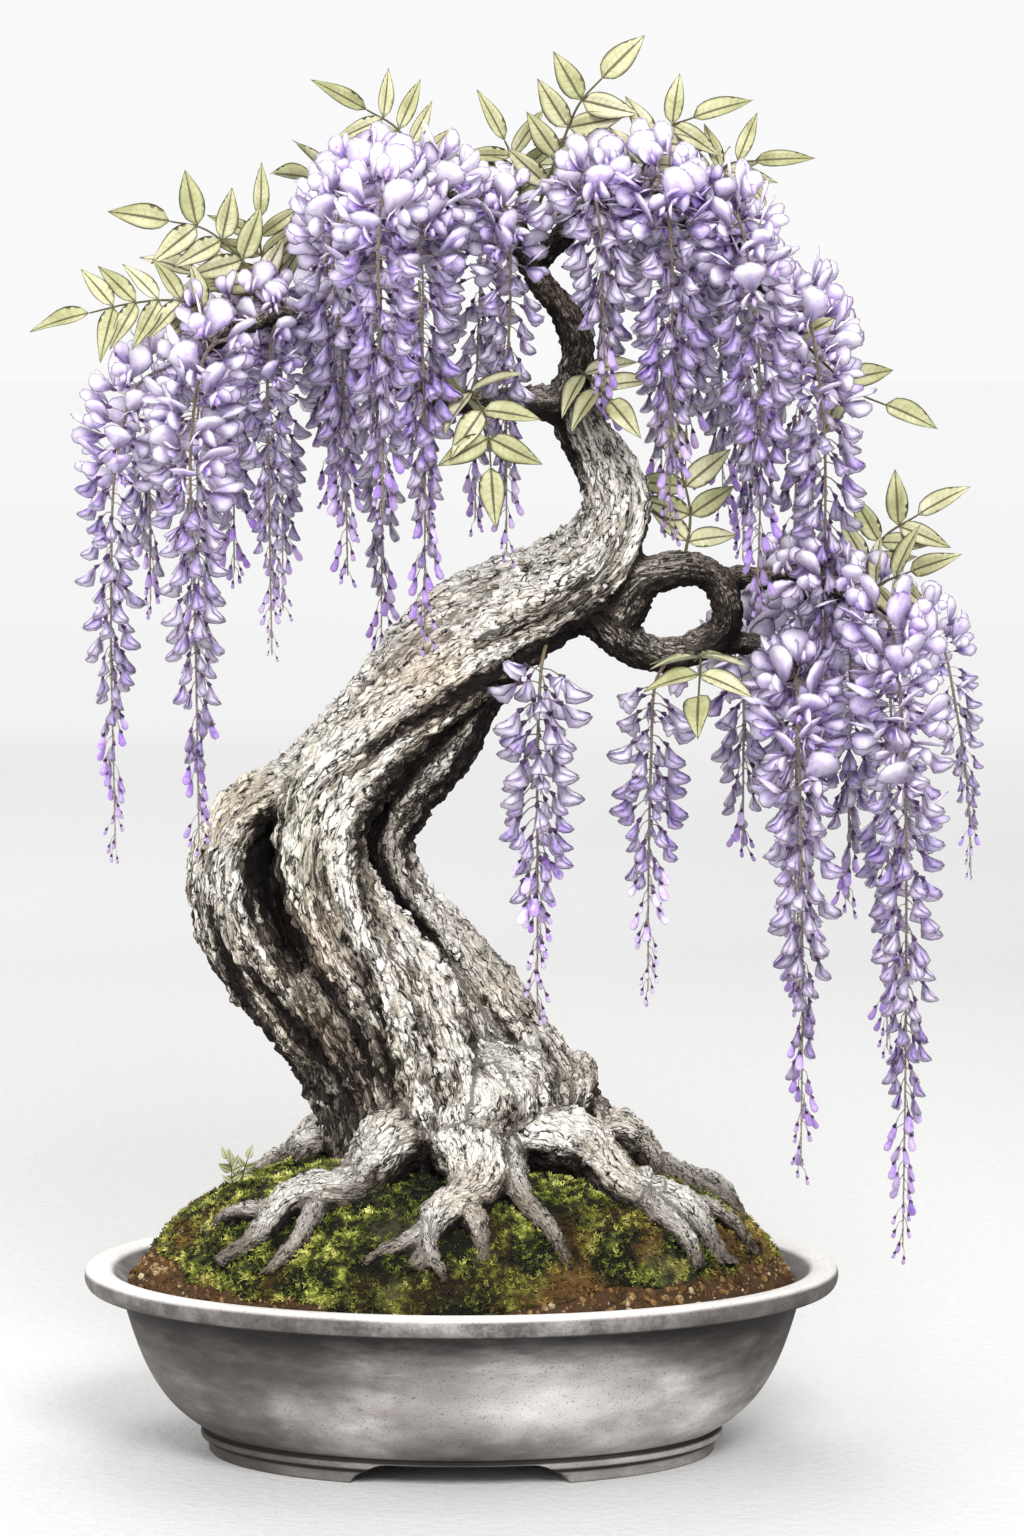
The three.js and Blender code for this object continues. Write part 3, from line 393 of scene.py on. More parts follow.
def mottled(finish, blotch_scale, speck_scale, speck_share, at=None):
    """Places the mottling group in a material and returns its two masks."""
    node = finish.tree.nodes.new("ShaderNodeGroup")
    node.node_tree = mottling_group
    finish.tree.links.new(at or finish.place, node.inputs["Vector"])
    for name, value in (("Blotch Scale", blotch_scale), ("Speck Scale", speck_scale),
                        ("Speck Share", speck_share)):
        node.inputs[name].default_value = value
    return node.outputs["Blotches"], node.outputs["Specks"]


def stoneware_material():
    clay = Finish("grey_stoneware", Roughness=0.72, Specular_IOR_Level=0.3)
    blotches, specks = mottled(clay, 34.0, 900.0, 0.63)
    wash = clay.noise(9.0, 4.0, 0.6, clay.stretched(1, 1, 2.2))
    streaks = clay.noise(40.0, 5.0, 0.7, clay.stretched(0.6, 0.6, 2.4))
    height = clay.axis(clay.place, "Z")
    along = clay.axis(clay.place, "X")
    colour = clay.ramp(clay.spread(wash, 0.34, 0.66), [
        (0.0, paint(82, 77, 75)), (0.45, paint(140, 134, 131)), (1.0, paint(212, 207, 203)),
    ])
    colour = clay.cover(colour, blotches, 0.42, paint(94, 88, 85))
    # Painted shade: the ends of the oval are painted darkest, in streaks.
    from_lit_middle = clay.math("ABSOLUTE", clay.minus(along, 0.012))
    painted_end_shade = clay.plus(clay.spread(from_lit_middle, 0.055, 0.19),
                      clay.spread(streaks, 0.3, 0.7, -0.18, 0.18))
    body = clay.times(clay.spread(height, 0.0885, 0.0875), clay.spread(painted_end_shade, 0.1, 1.0, 0.0, 0.75))
    colour = clay.mix(body, colour, paint(48, 43, 41))
    # Painted highlight: a pale patch on the body near that middle line.
    pale = clay.times(clay.spread(from_lit_middle, 0.085, 0.01), clay.spread(height, 0.026, 0.045))
    colour = clay.cover(colour, pale, 0.45, paint(224, 220, 217))
    # Painted shade gathers under the lip, thins out downwards, and comes back at the foot.
    body_only = clay.math("LESS_THAN", height, lip_underside)
    shade_under_lip = clay.times(clay.spread(height, 0.048, 0.084), body_only,
                           clay.spread(streaks, 0.32, 0.58, 0.40, 1.0))
    colour = clay.cover(colour, shade_under_lip, 0.90, paint(40, 36, 35))
    in_shade = clay.times(clay.spread(height, 0.070, 0.084), body_only)
    colour = clay.cover(colour, in_shade, 0.80, paint(26, 24, 23))
    foot = clay.times(clay.spread(height, 0.026, 0.008), clay.spread(streaks, 0.3, 0.7, 0.3, 1.0))
    colour = clay.cover(colour, foot, 0.7, paint(62, 57, 54))
    # The lip's outer face is painted darker than its top, in mottled patches.
    lip_patches = clay.spread(clay.noise(46.0, 5.0, 0.7), 0.38, 0.62, 0.50, 0.95)
    lip = clay.times(clay.above(height, lip_underside), clay.spread(height, 0.0985, 0.0965))
    colour = clay.cover(colour, lip, lip_patches, paint(66, 62, 61))
    # Painted highlight: the top of the rim is painted pale.
    rim = clay.spread(height, 0.0972, 0.0988)
    colour = clay.cover(colour, rim, 0.65, paint(222, 219, 215))
    # Painted shade: thin dark lines are painted along the grooves of the foot moulding and under
    # the lip.
    for groove in (0.0073, 0.0130, lip_underside):
        near = clay.math("ABSOLUTE", clay.minus(height, groove))
        colour = clay.mix(clay.spread(near, 0.0019, 0.0010, 0.0, 0.92), colour, paint(26, 23, 22))
    colour = clay.cover(colour, specks, 0.55, paint(58, 51, 48))
    grit = clay.noise(700.0, 3.0, 0.6)
    rough = clay.spread(wash, 0.3, 0.7, 0.82, 0.62)
    relief = clay.plus(clay.times(grit, 0.5), clay.times(streaks, 0.5))
    relief = clay.minus(relief, clay.times(specks, 0.4))
    return clay.wear(colour, rough, relief, 0.0011, 0.55)


pot = new_piece("oval_pot", build_pot(), stoneware_material())
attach(pot, "root")
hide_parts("pot")

# ---------------------------------------------------------------- soil
#
# A mound of dark, gritty soil fills the pot.  A ring of baked-clay crumbs, brown and rust with
# some pale ones, is left bare between the moss and the rim.

soil_half_length = 177
soil_rim_height = 91.5
mound_rise = 58
crumb_spacing = 0.0027
bare_from = 0.86
wall_gap = 0.6


def soil_height(share):
    return soil_rim_height + mound_rise * (1 - share ** 3.6)


class Recipe(Nodes):
    """A Geometry Nodes tree whose inputs are named sizes."""

    def __init__(self, name, inputs):
        self.tree = bpy.data.node_groups.new(name, "GeometryNodeTree")
        interface = self.tree.interface
        interface.new_socket("Geometry", in_out="INPUT", socket_type="NodeSocketGeometry")
        for socket_name, kind in inputs.items():
            interface.new_socket(socket_name, in_out="INPUT", socket_type="NodeSocket" + kind)
        interface.new_socket("Geometry", in_out="OUTPUT", socket_type="NodeSocketGeometry")
        self.given = self.tree.nodes.new("NodeGroupInput").outputs
        self.result = self.tree.nodes.new("NodeGroupOutput").inputs[0]

    def vector(self, operation, *values, **more):
        return self.put("ShaderNodeVectorMath", dict(enumerate(values)), operation=operation,
                        **more)

    def scaled(self, vector, factor):
        return self.put("ShaderNodeVectorMath", {0: vector, "Scale": factor}, operation="SCALE")

    def random(self, low, high, salt):
        seed = self.plus(self.given["Seed"], salt)
        return self.put("FunctionNodeRandomValue", {"Min": low, "Max": high, "Seed": seed})

    def blend(self, factor, low, high):
        return self.put("ShaderNodeMix", {0: factor, 1: low, 2: high})

    def attribute(self, name, kind="FLOAT"):
        return self.put("GeometryNodeInputNamedAttribute", {"Name": name}, data_type=kind)

    def store(self, geometry, name, value, domain="POINT"):
        return self.put("GeometryNodeStoreNamedAttribute",
                        {0: geometry, "Name": name, "Value": value}, domain=domain,
                        data_type="FLOAT")

    def density(self, spacing):
        """How many points to the square metre stand a given distance apart."""
        return self.math("DIVIDE", 1.0, self.math("POWER", spacing, 2.0))

    def outputs(self, kind, links, **settings):
        """Adds a node that is fed by links only, and returns all its outputs."""
        node = self.tree.nodes.new(kind)
        for name, value in settings.items():
            setattr(node, name, value)
        for name, value in links.items():
            self.tree.links.new(value, node.inputs[name])
        return node.outputs

    def join(self, *parts):
        node = self.tree.nodes.new("GeometryNodeJoinGeometry")
        for part in parts:
            self.tree.links.new(part, node.inputs[0])
        return node.outputs[0]

    def scatter(self, points, shapes, kind, rotation, scale, selection=True):
        """Stands one shape of a collection on each point."""
        library = self.put("GeometryNodeCollectionInfo", {0: shapes, 1: True, 2: True})
        return self.put("GeometryNodeInstanceOnPoints", {
            "Points": points, "Selection": selection, "Instance": library, "Pick Instance": True,
            "Instance Index": kind, "Rotation": rotation, "Scale": scale,
        })

    def finish(self, geometry, material):
        geometry = self.put("GeometryNodeRealizeInstances", {0: geometry})
        geometry = self.put("GeometryNodeSetMaterial", {0: geometry, "Material": material})
        self.tree.links.new(geometry, self.result)

    def make(self, source, name, values):
        """Runs the recipe on an object and returns the result as a plain mesh piece."""
        scene.collection.objects.link(source)
        modifier = source.modifiers.new("recipe", "NODES")
        modifier.node_group = self.tree
        identifiers = {item.name: item.identifier for item in self.tree.interface.items_tree
                       if item.in_out == "INPUT"}
        for key, value in values.items():
            modifier[identifiers[key]] = value
        return new_piece(name, plain_mesh(source, name))


def crumb_shapes():
    """Three angular crumbs, a millimetre in radius."""
    chance = random.Random(5)
    crumbs = bpy.data.collections.new("crumbs")
    for number in range(3):
        shape = bmesh.new()
        bmesh.ops.create_icosphere(shape, subdivisions=1, radius=mm)
        for vertex in shape.verts:
            vertex.co *= chance.uniform(0.72, 1.15)
            vertex.co.z *= 0.72
            vertex.co.x *= 1.2
        mesh = bpy.data.meshes.new(f"crumb_{number}")
        shape.to_mesh(mesh)
        shape.free()
        crumbs.objects.link(bpy.data.objects.new(f"crumb_{number}", mesh))
    return crumbs


def soil_material():
    earth = Finish("gritty_soil", Roughness=0.95, Specular_IOR_Level=0.2)
    shade = earth.attribute("shade")
    crumb = earth.attribute("crumb")
    blotches, specks = mottled(earth, 24.0, 800.0, 0.56)
    ground = earth.mix(blotches, paint(40, 30, 20), paint(76, 56, 36))
    grain = earth.ramp(shade, [
        (0.0, paint(34, 26, 18)), (0.34, paint(66, 48, 30)), (0.62, paint(100, 74, 44)),
        (0.82, paint(126, 100, 64)), (0.95, paint(150, 130, 96)), (1.0, paint(186, 172, 140)),
    ])
    grain = earth.cover(grain, blotches, 0.4, paint(112, 74, 34))
    grain = earth.cover(grain, specks, 0.5, paint(46, 34, 26))
    colour = earth.mix(earth.above(crumb, 0.5), ground, grain)
    return earth.wear(colour, height=earth.noise(900.0, 3.0, 0.7), depth=0.0008, strength=0.7)


def soil_recipe():
    recipe = Recipe("loose_crumbs",
                    {"Crumb Spacing": "Float", "Bare From": "Float", "Crumbs": "Collection",
                     "Seed": "Int"})
    given = recipe.given
    share = recipe.attribute("share")
    bare = recipe.times(recipe.above(share, given["Bare From"]),
                        recipe.math("LESS_THAN", share, 0.999))
    density = recipe.density(given["Crumb Spacing"])
    points = recipe.put("GeometryNodeDistributePointsOnFaces", {
        "Mesh": given["Geometry"], "Selection": bare, "Density": density, "Seed": given["Seed"]})
    turn = recipe.put("FunctionNodeRandomValue", {"Min": (0.0, 0.0, 0.0), "Max": (6.3, 6.3, 6.3),
                                                  "Seed": given["Seed"]}, data_type="FLOAT_VECTOR")
    kind = recipe.math("FLOOR", recipe.random(0.0, 2.99, 1))
    size = recipe.math("POWER", recipe.random(0.0, 1.0, 2), 2.2)
    size = recipe.blend(size, 0.8, 2.4)
    crumbs = recipe.scatter(points, given["Crumbs"], kind, turn, size)
    crumbs = recipe.store(crumbs, "shade", recipe.random(0.0, 1.0, 3), "INSTANCE")
    crumbs = recipe.store(crumbs, "crumb", 1.0, "INSTANCE")
    recipe.finish(recipe.join(given["Geometry"], crumbs), soil_material())
    return recipe


def mark(mesh, name, values):
    """Stores a number at each point, for recipes and materials to read."""
    numbers = np.asarray(values, np.float32)
    mesh.attributes.new(name, "FLOAT", "POINT").data.foreach_set("value", numbers)


def build_soil():
    wall = [(x - wall_gap, z + wall_gap) for x, z in ((128, 22.4), (153, 42), (172, 86))]
    top = [(share * soil_half_length, soil_height(share)) for share in np.linspace(1, 0, 40)]
    points, faces = oval_lathe([(0, wall[0][1]), *wall, *top], 160)
    mesh = mesh_at_pot("soil_mound", points, faces)
    share = np.hypot(points[:, 0] / soil_half_length,
                     points[:, 1] / half_depth_at(soil_half_length))
    share[points[:, 2] < soil_rim_height - 0.01] = 0.0
    mark(mesh, "share", share)
    return bpy.data.objects.new("soil_mound", mesh)


soil = soil_recipe().make(build_soil(), "soil_mound",
                          {"Crumb Spacing": crumb_spacing, "Bare From": bare_from,
                           "Crumbs": crumb_shapes(), "Seed": 3})
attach(soil, "root")
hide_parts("soil")

# ---------------------------------------------------------------- moss
#
# Cushions of living moss cover the mound up to a wandering edge, which nearly reaches the rim at
# the front.  Short tufts stand all over them.

moss_depth = 8
tuft_spacing = 0.00265
cushion_height = 0.0030


def moss_edge(angle):
    """Where the moss ends, as a share of the way to the rim."""
    from_front = np.arctan2(np.sin(angle + math.pi / 2), np.cos(angle + math.pi / 2))
    edge = 0.928 + 0.046 * np.exp(-((from_front + 0.15) / 0.6) ** 2)
    for size, waves, shift in ((0.014, 3, 1), (0.013, 7, 0), (0.008, 19, 0)):
        edge = edge + size * np.sin(waves * angle + shift)
    return edge


def moss_height(x, y):
    share = np.minimum(1, np.hypot(x / soil_half_length, y / half_depth_at(soil_half_length)))
    return soil_height(share) + moss_depth


def build_moss():
    sectors, rings = 300, 62
    half_depth = float(half_depth_at(soil_half_length))
    angles = np.linspace(0, 2 * math.pi, sectors, endpoint=False)
    points = [(0, 0, soil_height(0) + moss_depth - 3)]
    edges = [0.0]
    for ring in range(1, rings + 1):
        inward = ring / rings
        share = inward * moss_edge(angles)
        thick = (moss_depth - 2.4) * np.clip((1 - inward) / 0.1, 0, 1) ** 0.5 + 0.4
        points += list(zip(share * soil_half_length * np.cos(angles),
                           share * half_depth * np.sin(angles), soil_height(share) + thick))
        edges += [inward] * sectors
    rim = len(points) - sectors
    points += [(x, y, z - 1.4) for x, y, z in points[rim:]]
    edges += [1.0] * sectors
    faces = [(0, 1 + i, 1 + (i + 1) % sectors) for i in range(sectors)]
    for ring in range(rings):
        low, high = 1 + ring * sectors, 1 + (ring + 1) * sectors
        faces += [(low + i, high + i, high + (i + 1) % sectors, low + (i + 1) % sectors)
                  for i in range(sectors)]
    faces.append(tuple(reversed(range(rim + sectors, rim + 2 * sectors))))
    mesh = mesh_at_pot("moss_cushions", np.array(points), faces)
    mark(mesh, "inward", edges)
    return bpy.data.objects.new("moss_cushions", mesh)


def tuft_shapes():
    """Two tufts of narrow blades that spread from one foot."""
    chance = random.Random(8)
    tufts = bpy.data.collections.new("tufts")
    for number, blades in enumerate((4, 3)):
        points, faces = [], []
        for blade in range(blades):
            turn = 2 * math.pi * blade / blades + chance.uniform(-0.4, 0.4)
            lean = chance.uniform(0.35, 0.95)
            length = chance.uniform(0.8, 1.25)
            ahead = Vector((math.cos(turn) * math.sin(lean), math.sin(turn) * math.sin(lean),
                            math.cos(lean)))
            aside = Vector((-math.sin(turn), math.cos(turn), 0))
            start = len(points)
            points += [aside * 0.26, ahead * length, aside * -0.26,
                       Vector((0, 0, 0.42)) + ahead * 0.2]
            faces += [(start, start + 1, start + 3), (start + 1, start + 2, start + 3),
                      (start + 2, start, start + 3), (start, start + 2, start + 1)]
        mesh = new_mesh(f"tuft_{number}", [point * mm for point in points], faces)
        mark(mesh, "tip", [min(1.0, point.length) for point in points])
        tufts.objects.link(bpy.data.objects.new(f"tuft_{number}", mesh))
    return tufts


def moss_material():
    moss = Finish("olive_moss", Roughness=0.9, Specular_IOR_Level=0.12, Sheen_Weight=0.05)
    shade = moss.attribute("shade")
    tip = moss.attribute("tip")
    inward = moss.attribute("inward")
    patches, _ = mottled(moss, 30.0, 420.0, 0.55)
    clumps = moss.noise(120.0, 3.0, 0.6)
    beds = moss.noise(42.0, 4.0, 0.65)
    # Painted shade: the feet of the tufts and the ground between them are painted near black; the
    # tufts grow paler towards their tips.
    depth = moss.plus(moss.times(shade, 0.30), moss.spread(clumps, 0.32, 0.68, -0.42, 0.40),
                      moss.spread(beds, 0.34, 0.66, -0.40, 0.36), moss.times(tip, 0.44))
    colour = moss.ramp(depth, [
        (0.0, paint(16, 17, 8)), (0.24, paint(46, 50, 19)), (0.48, paint(92, 100, 36)),
        (0.74, paint(150, 155, 68)), (0.97, paint(210, 205, 126)),
    ])
    # Towards its edge, and in worn spots, the moss is brown and rusty.
    rust = moss.mix(shade, paint(70, 50, 26), paint(146, 102, 54))
    dry = moss.times(moss.spread(inward, 0.66, 1.0), moss.spread(patches, 0.42, 0.86))
    # Left of the middle it stays green down to the rim.
    from_green = moss.math("ABSOLUTE", moss.plus(moss.axis(moss.place, "X"), 0.069))
    dry = moss.times(dry, moss.spread(from_green, 0.03, 0.11, 0.15, 0.85))
    colour = moss.mix(dry, colour, rust)
    grey = moss.spread(moss.noise(20.0, 3.0, 0.6), 0.56, 0.66, 0.0, 0.28)
    colour = moss.mix(grey, colour, paint(92, 90, 66))
    return moss.wear(colour, height=clumps, depth=0.002, strength=0.4)


def lifted(recipe, skin, height):
    """The skin, moved outwards by a height."""
    offset = recipe.scaled(recipe.put("GeometryNodeInputNormal"), height)
    return recipe.put("GeometryNodeSetPosition", {"Geometry": skin, "Offset": offset})


def moss_recipe():
    recipe = Recipe("moss",
                    {"Cushion Height": "Float", "Tuft Spacing": "Float", "Tufts": "Collection",
                     "Seed": "Int"})
    given = recipe.given
    place = recipe.put("GeometryNodeInputPosition")
    cushions = recipe.put("ShaderNodeTexVoronoi",
                          {"Vector": place, "Scale": 70.0, "Smoothness": 0.6}, feature="SMOOTH_F1")
    cushions = recipe.minus(0.55, cushions)
    lumps = recipe.put("ShaderNodeTexNoise", {"Vector": place, "Scale": 190.0, "Detail": 3.0})
    lift = recipe.plus(cushions, recipe.times(recipe.minus(lumps, 0.5), 1.5))
    inner = recipe.spread(recipe.attribute("inward"), 1.0, 0.93)
    lift = recipe.times(recipe.times(lift, inner), given["Cushion Height"])
    ground = recipe.store(lifted(recipe, given["Geometry"], lift), "shade", 0.25)
    density = recipe.density(given["Tuft Spacing"])
    spots = recipe.outputs("GeometryNodeDistributePointsOnFaces",
                           {"Mesh": ground, "Density": density, "Seed": given["Seed"]})
    facing = recipe.axis(spots["Normal"], "Z")
    turn = recipe.put("FunctionNodeAxisAngleToRotation",
                      {"Axis": (0.0, 0.0, 1.0), "Angle": recipe.random(0.0, 6.3, 1)})
    turn = recipe.put("FunctionNodeRotateRotation", {0: spots["Rotation"], 1: turn},
                      rotation_space="LOCAL")
    kind = recipe.math("ROUND", recipe.random(0.0, 1.0, 2))
    size = recipe.random(1.6, 3.7, 3)
    tufts = recipe.scatter(spots["Points"], given["Tufts"], kind, turn, size,
                           recipe.above(facing, 0.05))
    tufts = recipe.store(tufts, "shade", recipe.random(0.0, 1.0, 4), "INSTANCE")
    recipe.finish(recipe.join(ground, tufts), moss_material())
    return recipe


moss = moss_recipe().make(build_moss(), "moss_cushions",
                          {"Cushion Height": cushion_height, "Tuft Spacing": tuft_spacing,
                           "Tufts": tuft_shapes(), "Seed": 21})
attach(moss, "root")
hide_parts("moss")

# ---------------------------------------------------------------- trunk, roots and branches
#
# An old trunk of four strands grown together, each a bundle of cords that wind round it.  Roots
# ride over the mound before they dive into the moss, and the twigs that flower fork from the top.

# Each route is a list of [x, y, z, radius].
strands = {
    "front": [
        (12, -10, 92, 34), (8, -13, 130, 33), (0, -15, 172, 34), (-16, -17, 212, 30),
        (-38, -21, 252, 28), (-60, -24, 284, 27), (-72, -23, 316, 25), (-68, -20, 347, 24),
        (-46, -14, 375, 23), (-18, -8, 402, 23), (14, -4, 430, 22), (48, -6, 452, 20),
        (73, -8, 474, 18), (82, -4, 500, 17), (74, 2, 523, 15), (62, 6, 544, 13), (58, 7, 563, 10),
        (61, 4, 581, 9), (55, 0, 600, 8), (41, 0, 618, 7), (32, 2, 635, 5), (31, 4, 648, 4),
    ],
    "left": [
        (-38, 12, 98, 26), (-42, 12, 137, 27), (-48, 12, 174, 26), (-64, 12, 212, 25),
        (-93, 6, 248, 24), (-116, 0, 281, 22), (-123, -2, 313, 20), (-112, 0, 340, 18),
        (-86, 4, 356, 17), (-59, 10, 380, 18), (-32, 16, 410, 20), (-6, 18, 438, 20),
        (26, 14, 457, 18), (57, 8, 473, 16), (75, 6, 492, 13),
    ],
    "right": [
        (74, 4, 100, 20), (70, 4, 141, 22), (58, 2, 176, 19), (41, 0, 206, 18), (19, 0, 238, 17),
        (-8, 4, 270, 16), (-32, 6, 299, 15), (-39, 8, 326, 15), (-27, 8, 352, 17), (-8, 4, 376, 16),
        (8, -2, 402, 14), (27, -5, 428, 13), (52, -7, 444, 12), (74, -6, 454, 12),
    ],
    "back": [
        (6, 34, 95, 38), (4, 34, 137, 40), (-10, 36, 180, 40), (-36, 30, 225, 40),
        (-68, 24, 264, 37), (-84, 20, 300, 34), (-80, 22, 330, 31), (-54, 24, 360, 27),
        (-20, 26, 397, 23), (15, 22, 431, 20), (52, 14, 457, 18), (78, 10, 475, 17),
    ],
    # Two short ones fill the foot of the gaps between the others.
    "left web": [
        (-18, -4, 100, 24), (-22, -8, 135, 23), (-30, -10, 172, 22), (-46, -10, 208, 19),
        (-66, -10, 236, 15), (-82, -8, 256, 9),
    ],
    "right web": [
        (46, -4, 102, 22), (41, -7, 140, 21), (30, -9, 176, 19), (13, -9, 208, 17),
        (-7, -7, 240, 15),
        (-26, -4, 268, 12), (-38, 2, 292, 9),
    ],
}

# Roots ride on the mound: [x, y, height over the moss, radius].
roots = [
    [(-56, 12, 54, 13), (-46, 12, 20, 22), (-66, 26, 8, 16), (-88, 40, 1, 13), (-110, 52, 1, 9),
     (-132, 60, -5, 5)],
    [(-20, -20, 58, 13), (-15, -20, 24, 20), (-40, -40, 8, 17), (-62, -52, 1, 13),
     (-92, -61, 1, 10), (-124, -66, -5, 5)],
    [(-8, -29, 60, 14), (6, -25, 26, 22), (9, -48, 8, 18), (2, -68, 2, 14), (-10, -86, -1, 10),
     (-24, -98, -6, 6)],
    [(-2, -70, 2, 9), (6, -86, 0, 7), (14, -98, -6, 4)],
    [(8, -22, 58, 13), (36, -16, 24, 22), (62, -30, 7, 17), (92, -42, 4, 13), (120, -49, 1, 9),
     (146, -54, -6, 5)],
    [(54, 2, 50, 13), (58, 4, 16, 20), (82, 8, 6, 16), (108, 14, 0, 12), (130, 19, -1, 9),
     (153, 24, -6, 5)],
    [(16, -34, 22, 9), (22, -44, 6, 10), (34, -66, 1, 7), (46, -84, -1, 5), (56, -94, -5, 3.5)],
    [(2, 50, 52, 16), (10, 60, 18, 24), (4, 80, 5, 14), (-8, 95, -1, 8), (-18, 103, -7, 4)],
    [(28, 40, 48, 14), (40, 46, 16, 20), (60, 64, 5, 13), (82, 78, -1, 8), (100, 85, -6, 4)],
    [(-30, 42, 48, 13), (-36, 46, 16, 18), (-58, 66, 4, 12), (-78, 80, -2, 8), (-93, 87, -7, 4)],
    # rootlets that fork from the ones before
    [(-84, -59, 3, 8), (-104, -54, 2, 6), (-122, -44, 0, 5), (-138, -38, -5, 3)],
    [(-60, -50, 4, 9), (-78, -72, 1, 6), (-92, -82, -1, 5), (-102, -84, -5, 3)],
    [(-6, -80, 2, 8), (-20, -88, 1, 6), (-36, -92, -1, 5), (-48, -94, -5, 3)],
    [(-14, -88, 2, 7), (-14, -98, 1, 5), (-8, -105, -4, 3)],
    [(90, -42, 5, 9), (106, -56, 3, 7), (118, -66, 0, 5), (124, -72, -5, 3)],
    [(100, -44, 4, 9), (122, -34, 3, 7), (142, -32, 0, 5), (158, -34, -5, 3)],
    [(104, 12, 2, 9), (128, 0, 1, 6), (152, -4, -5, 3)],
]

branches = {
    "right_loop_top": [
        (82, -4, 450, 12), (99, -10, 463, 10), (115, -12, 471, 9), (130, -8, 467, 8),
        (138, -2, 452, 8), (135, 3, 437, 8), (124, 6, 427, 8),
    ],
    "right_loop_low": [
        (68, -6, 444, 14), (90, 2, 431, 10), (107, 6, 423, 9), (121, 8, 423, 8),
        (134, 9, 430, 7), (150, 10, 431, 6), (166, 8, 422, 5), (176, 4, 410, 3.5),
    ],
    "right_limb": [
        (134, -4, 460, 7), (149, 4, 464, 6), (165, 8, 463, 6), (182, 4, 456, 5), (202, 4, 453, 5),
        (220, 6, 450, 4), (234, 8, 449, 3),
    ],
    "right_back": [(182, 4, 456, 5), (190, 28, 462, 4.5), (196, 54, 460, 4), (204, 78, 448, 3)],
    "right_front": [(166, 8, 463, 5), (180, -12, 466, 4.5), (196, -30, 460, 4), (214, -40, 450, 3)],
    "left_limb": [
        (58, 8, 547, 10), (41, 2, 556, 9), (26, -4, 558, 8), (8, -6, 553, 7), (-11, -2, 558, 6),
        (-34, 6, 571, 6), (-60, 6, 585, 5), (-83, 0, 595, 5), (-103, -6, 597, 4),
        (-122, -8, 590, 4), (-142, -8, 577, 3),
    ],
    "left_back": [(-50, 6, 580, 5), (-72, 34, 592, 4.5), (-98, 60, 594, 4), (-124, 84, 586, 3)],
    "left_front": [(-83, 0, 595, 4.5), (-98, -22, 600, 4), (-116, -34, 590, 3)],
    "top_left": [
        (32, 2, 634, 5), (18, -6, 652, 4.5), (-5, -14, 662, 4), (-31, -20, 664, 4),
        (-54, -22, 656, 3),
    ],
    "top_left_front": [(-5, -14, 662, 4), (-22, -40, 666, 3.5), (-34, -68, 660, 3)],
    "top_left_back": [
        (36, 2, 628, 5), (14, 26, 648, 4.5), (-10, 52, 654, 4), (-34, 78, 652, 3.5),
        (-52, 98, 644, 3),
    ],
    "top_right": [
        (37, 1, 624, 5.5), (52, -8, 642, 5), (72, -14, 657, 4.5), (98, -18, 662, 4),
        (124, -18, 652, 3.5), (147, -12, 632, 3), (162, -10, 608, 3),
    ],
    "top_right_back": [
        (44, 0, 634, 5), (66, 24, 650, 4.5), (92, 50, 656, 4), (118, 76, 648, 3.5),
        (140, 94, 628, 3),
    ],
    "top_right_side": [(92, 50, 656, 4), (122, 52, 648, 3.5), (150, 52, 626, 3), (164, 54, 604, 3)],
}

trunk_foot = 0.112
bark_voxel = 0.0021
flake_width = 0.0044
flake_stretch = 2.4
ridge_height, flake_height = 0.085, 0.54


def smooth_path(points, spacing):
    """Points every so often along a smooth curve through given points.  A fourth number, such
    as a radius, is carried along."""
    points = [np.array(point, float) for point in points]
    ends = [2 * points[0] - points[1], *points, 2 * points[-1] - points[-2]]
    path = []
    for a, b, c, d in zip(ends, ends[1:], ends[2:], ends[3:]):
        knots = [0.0]
        for p, q in ((a, b), (b, c), (c, d)):
            knots.append(knots[-1] + max(np.linalg.norm((q - p)[:3]), 1e-6) ** 0.5)
        k0, k1, k2, k3 = knots
        steps = max(2, round(np.linalg.norm((c - b)[:3]) / spacing))
        for t in np.linspace(k1, k2, steps, endpoint=False):
            ab = ((k1 - t) * a + (t - k0) * b) / (k1 - k0)
            bc = ((k2 - t) * b + (t - k1) * c) / (k2 - k1)
            cd = ((k3 - t) * c + (t - k2) * d) / (k3 - k2)
            abc = ((k2 - t) * ab + (t - k0) * bc) / (k2 - k0)
            bcd = ((k3 - t) * bc + (t - k1) * cd) / (k3 - k1)
            path.append(((k2 - t) * abc + (t - k1) * bcd) / (k2 - k1))
    path.append(points[-1])
    return np.array(path)


def unit(vectors):
    return vectors / np.linalg.norm(vectors, axis=-1, keepdims=True)


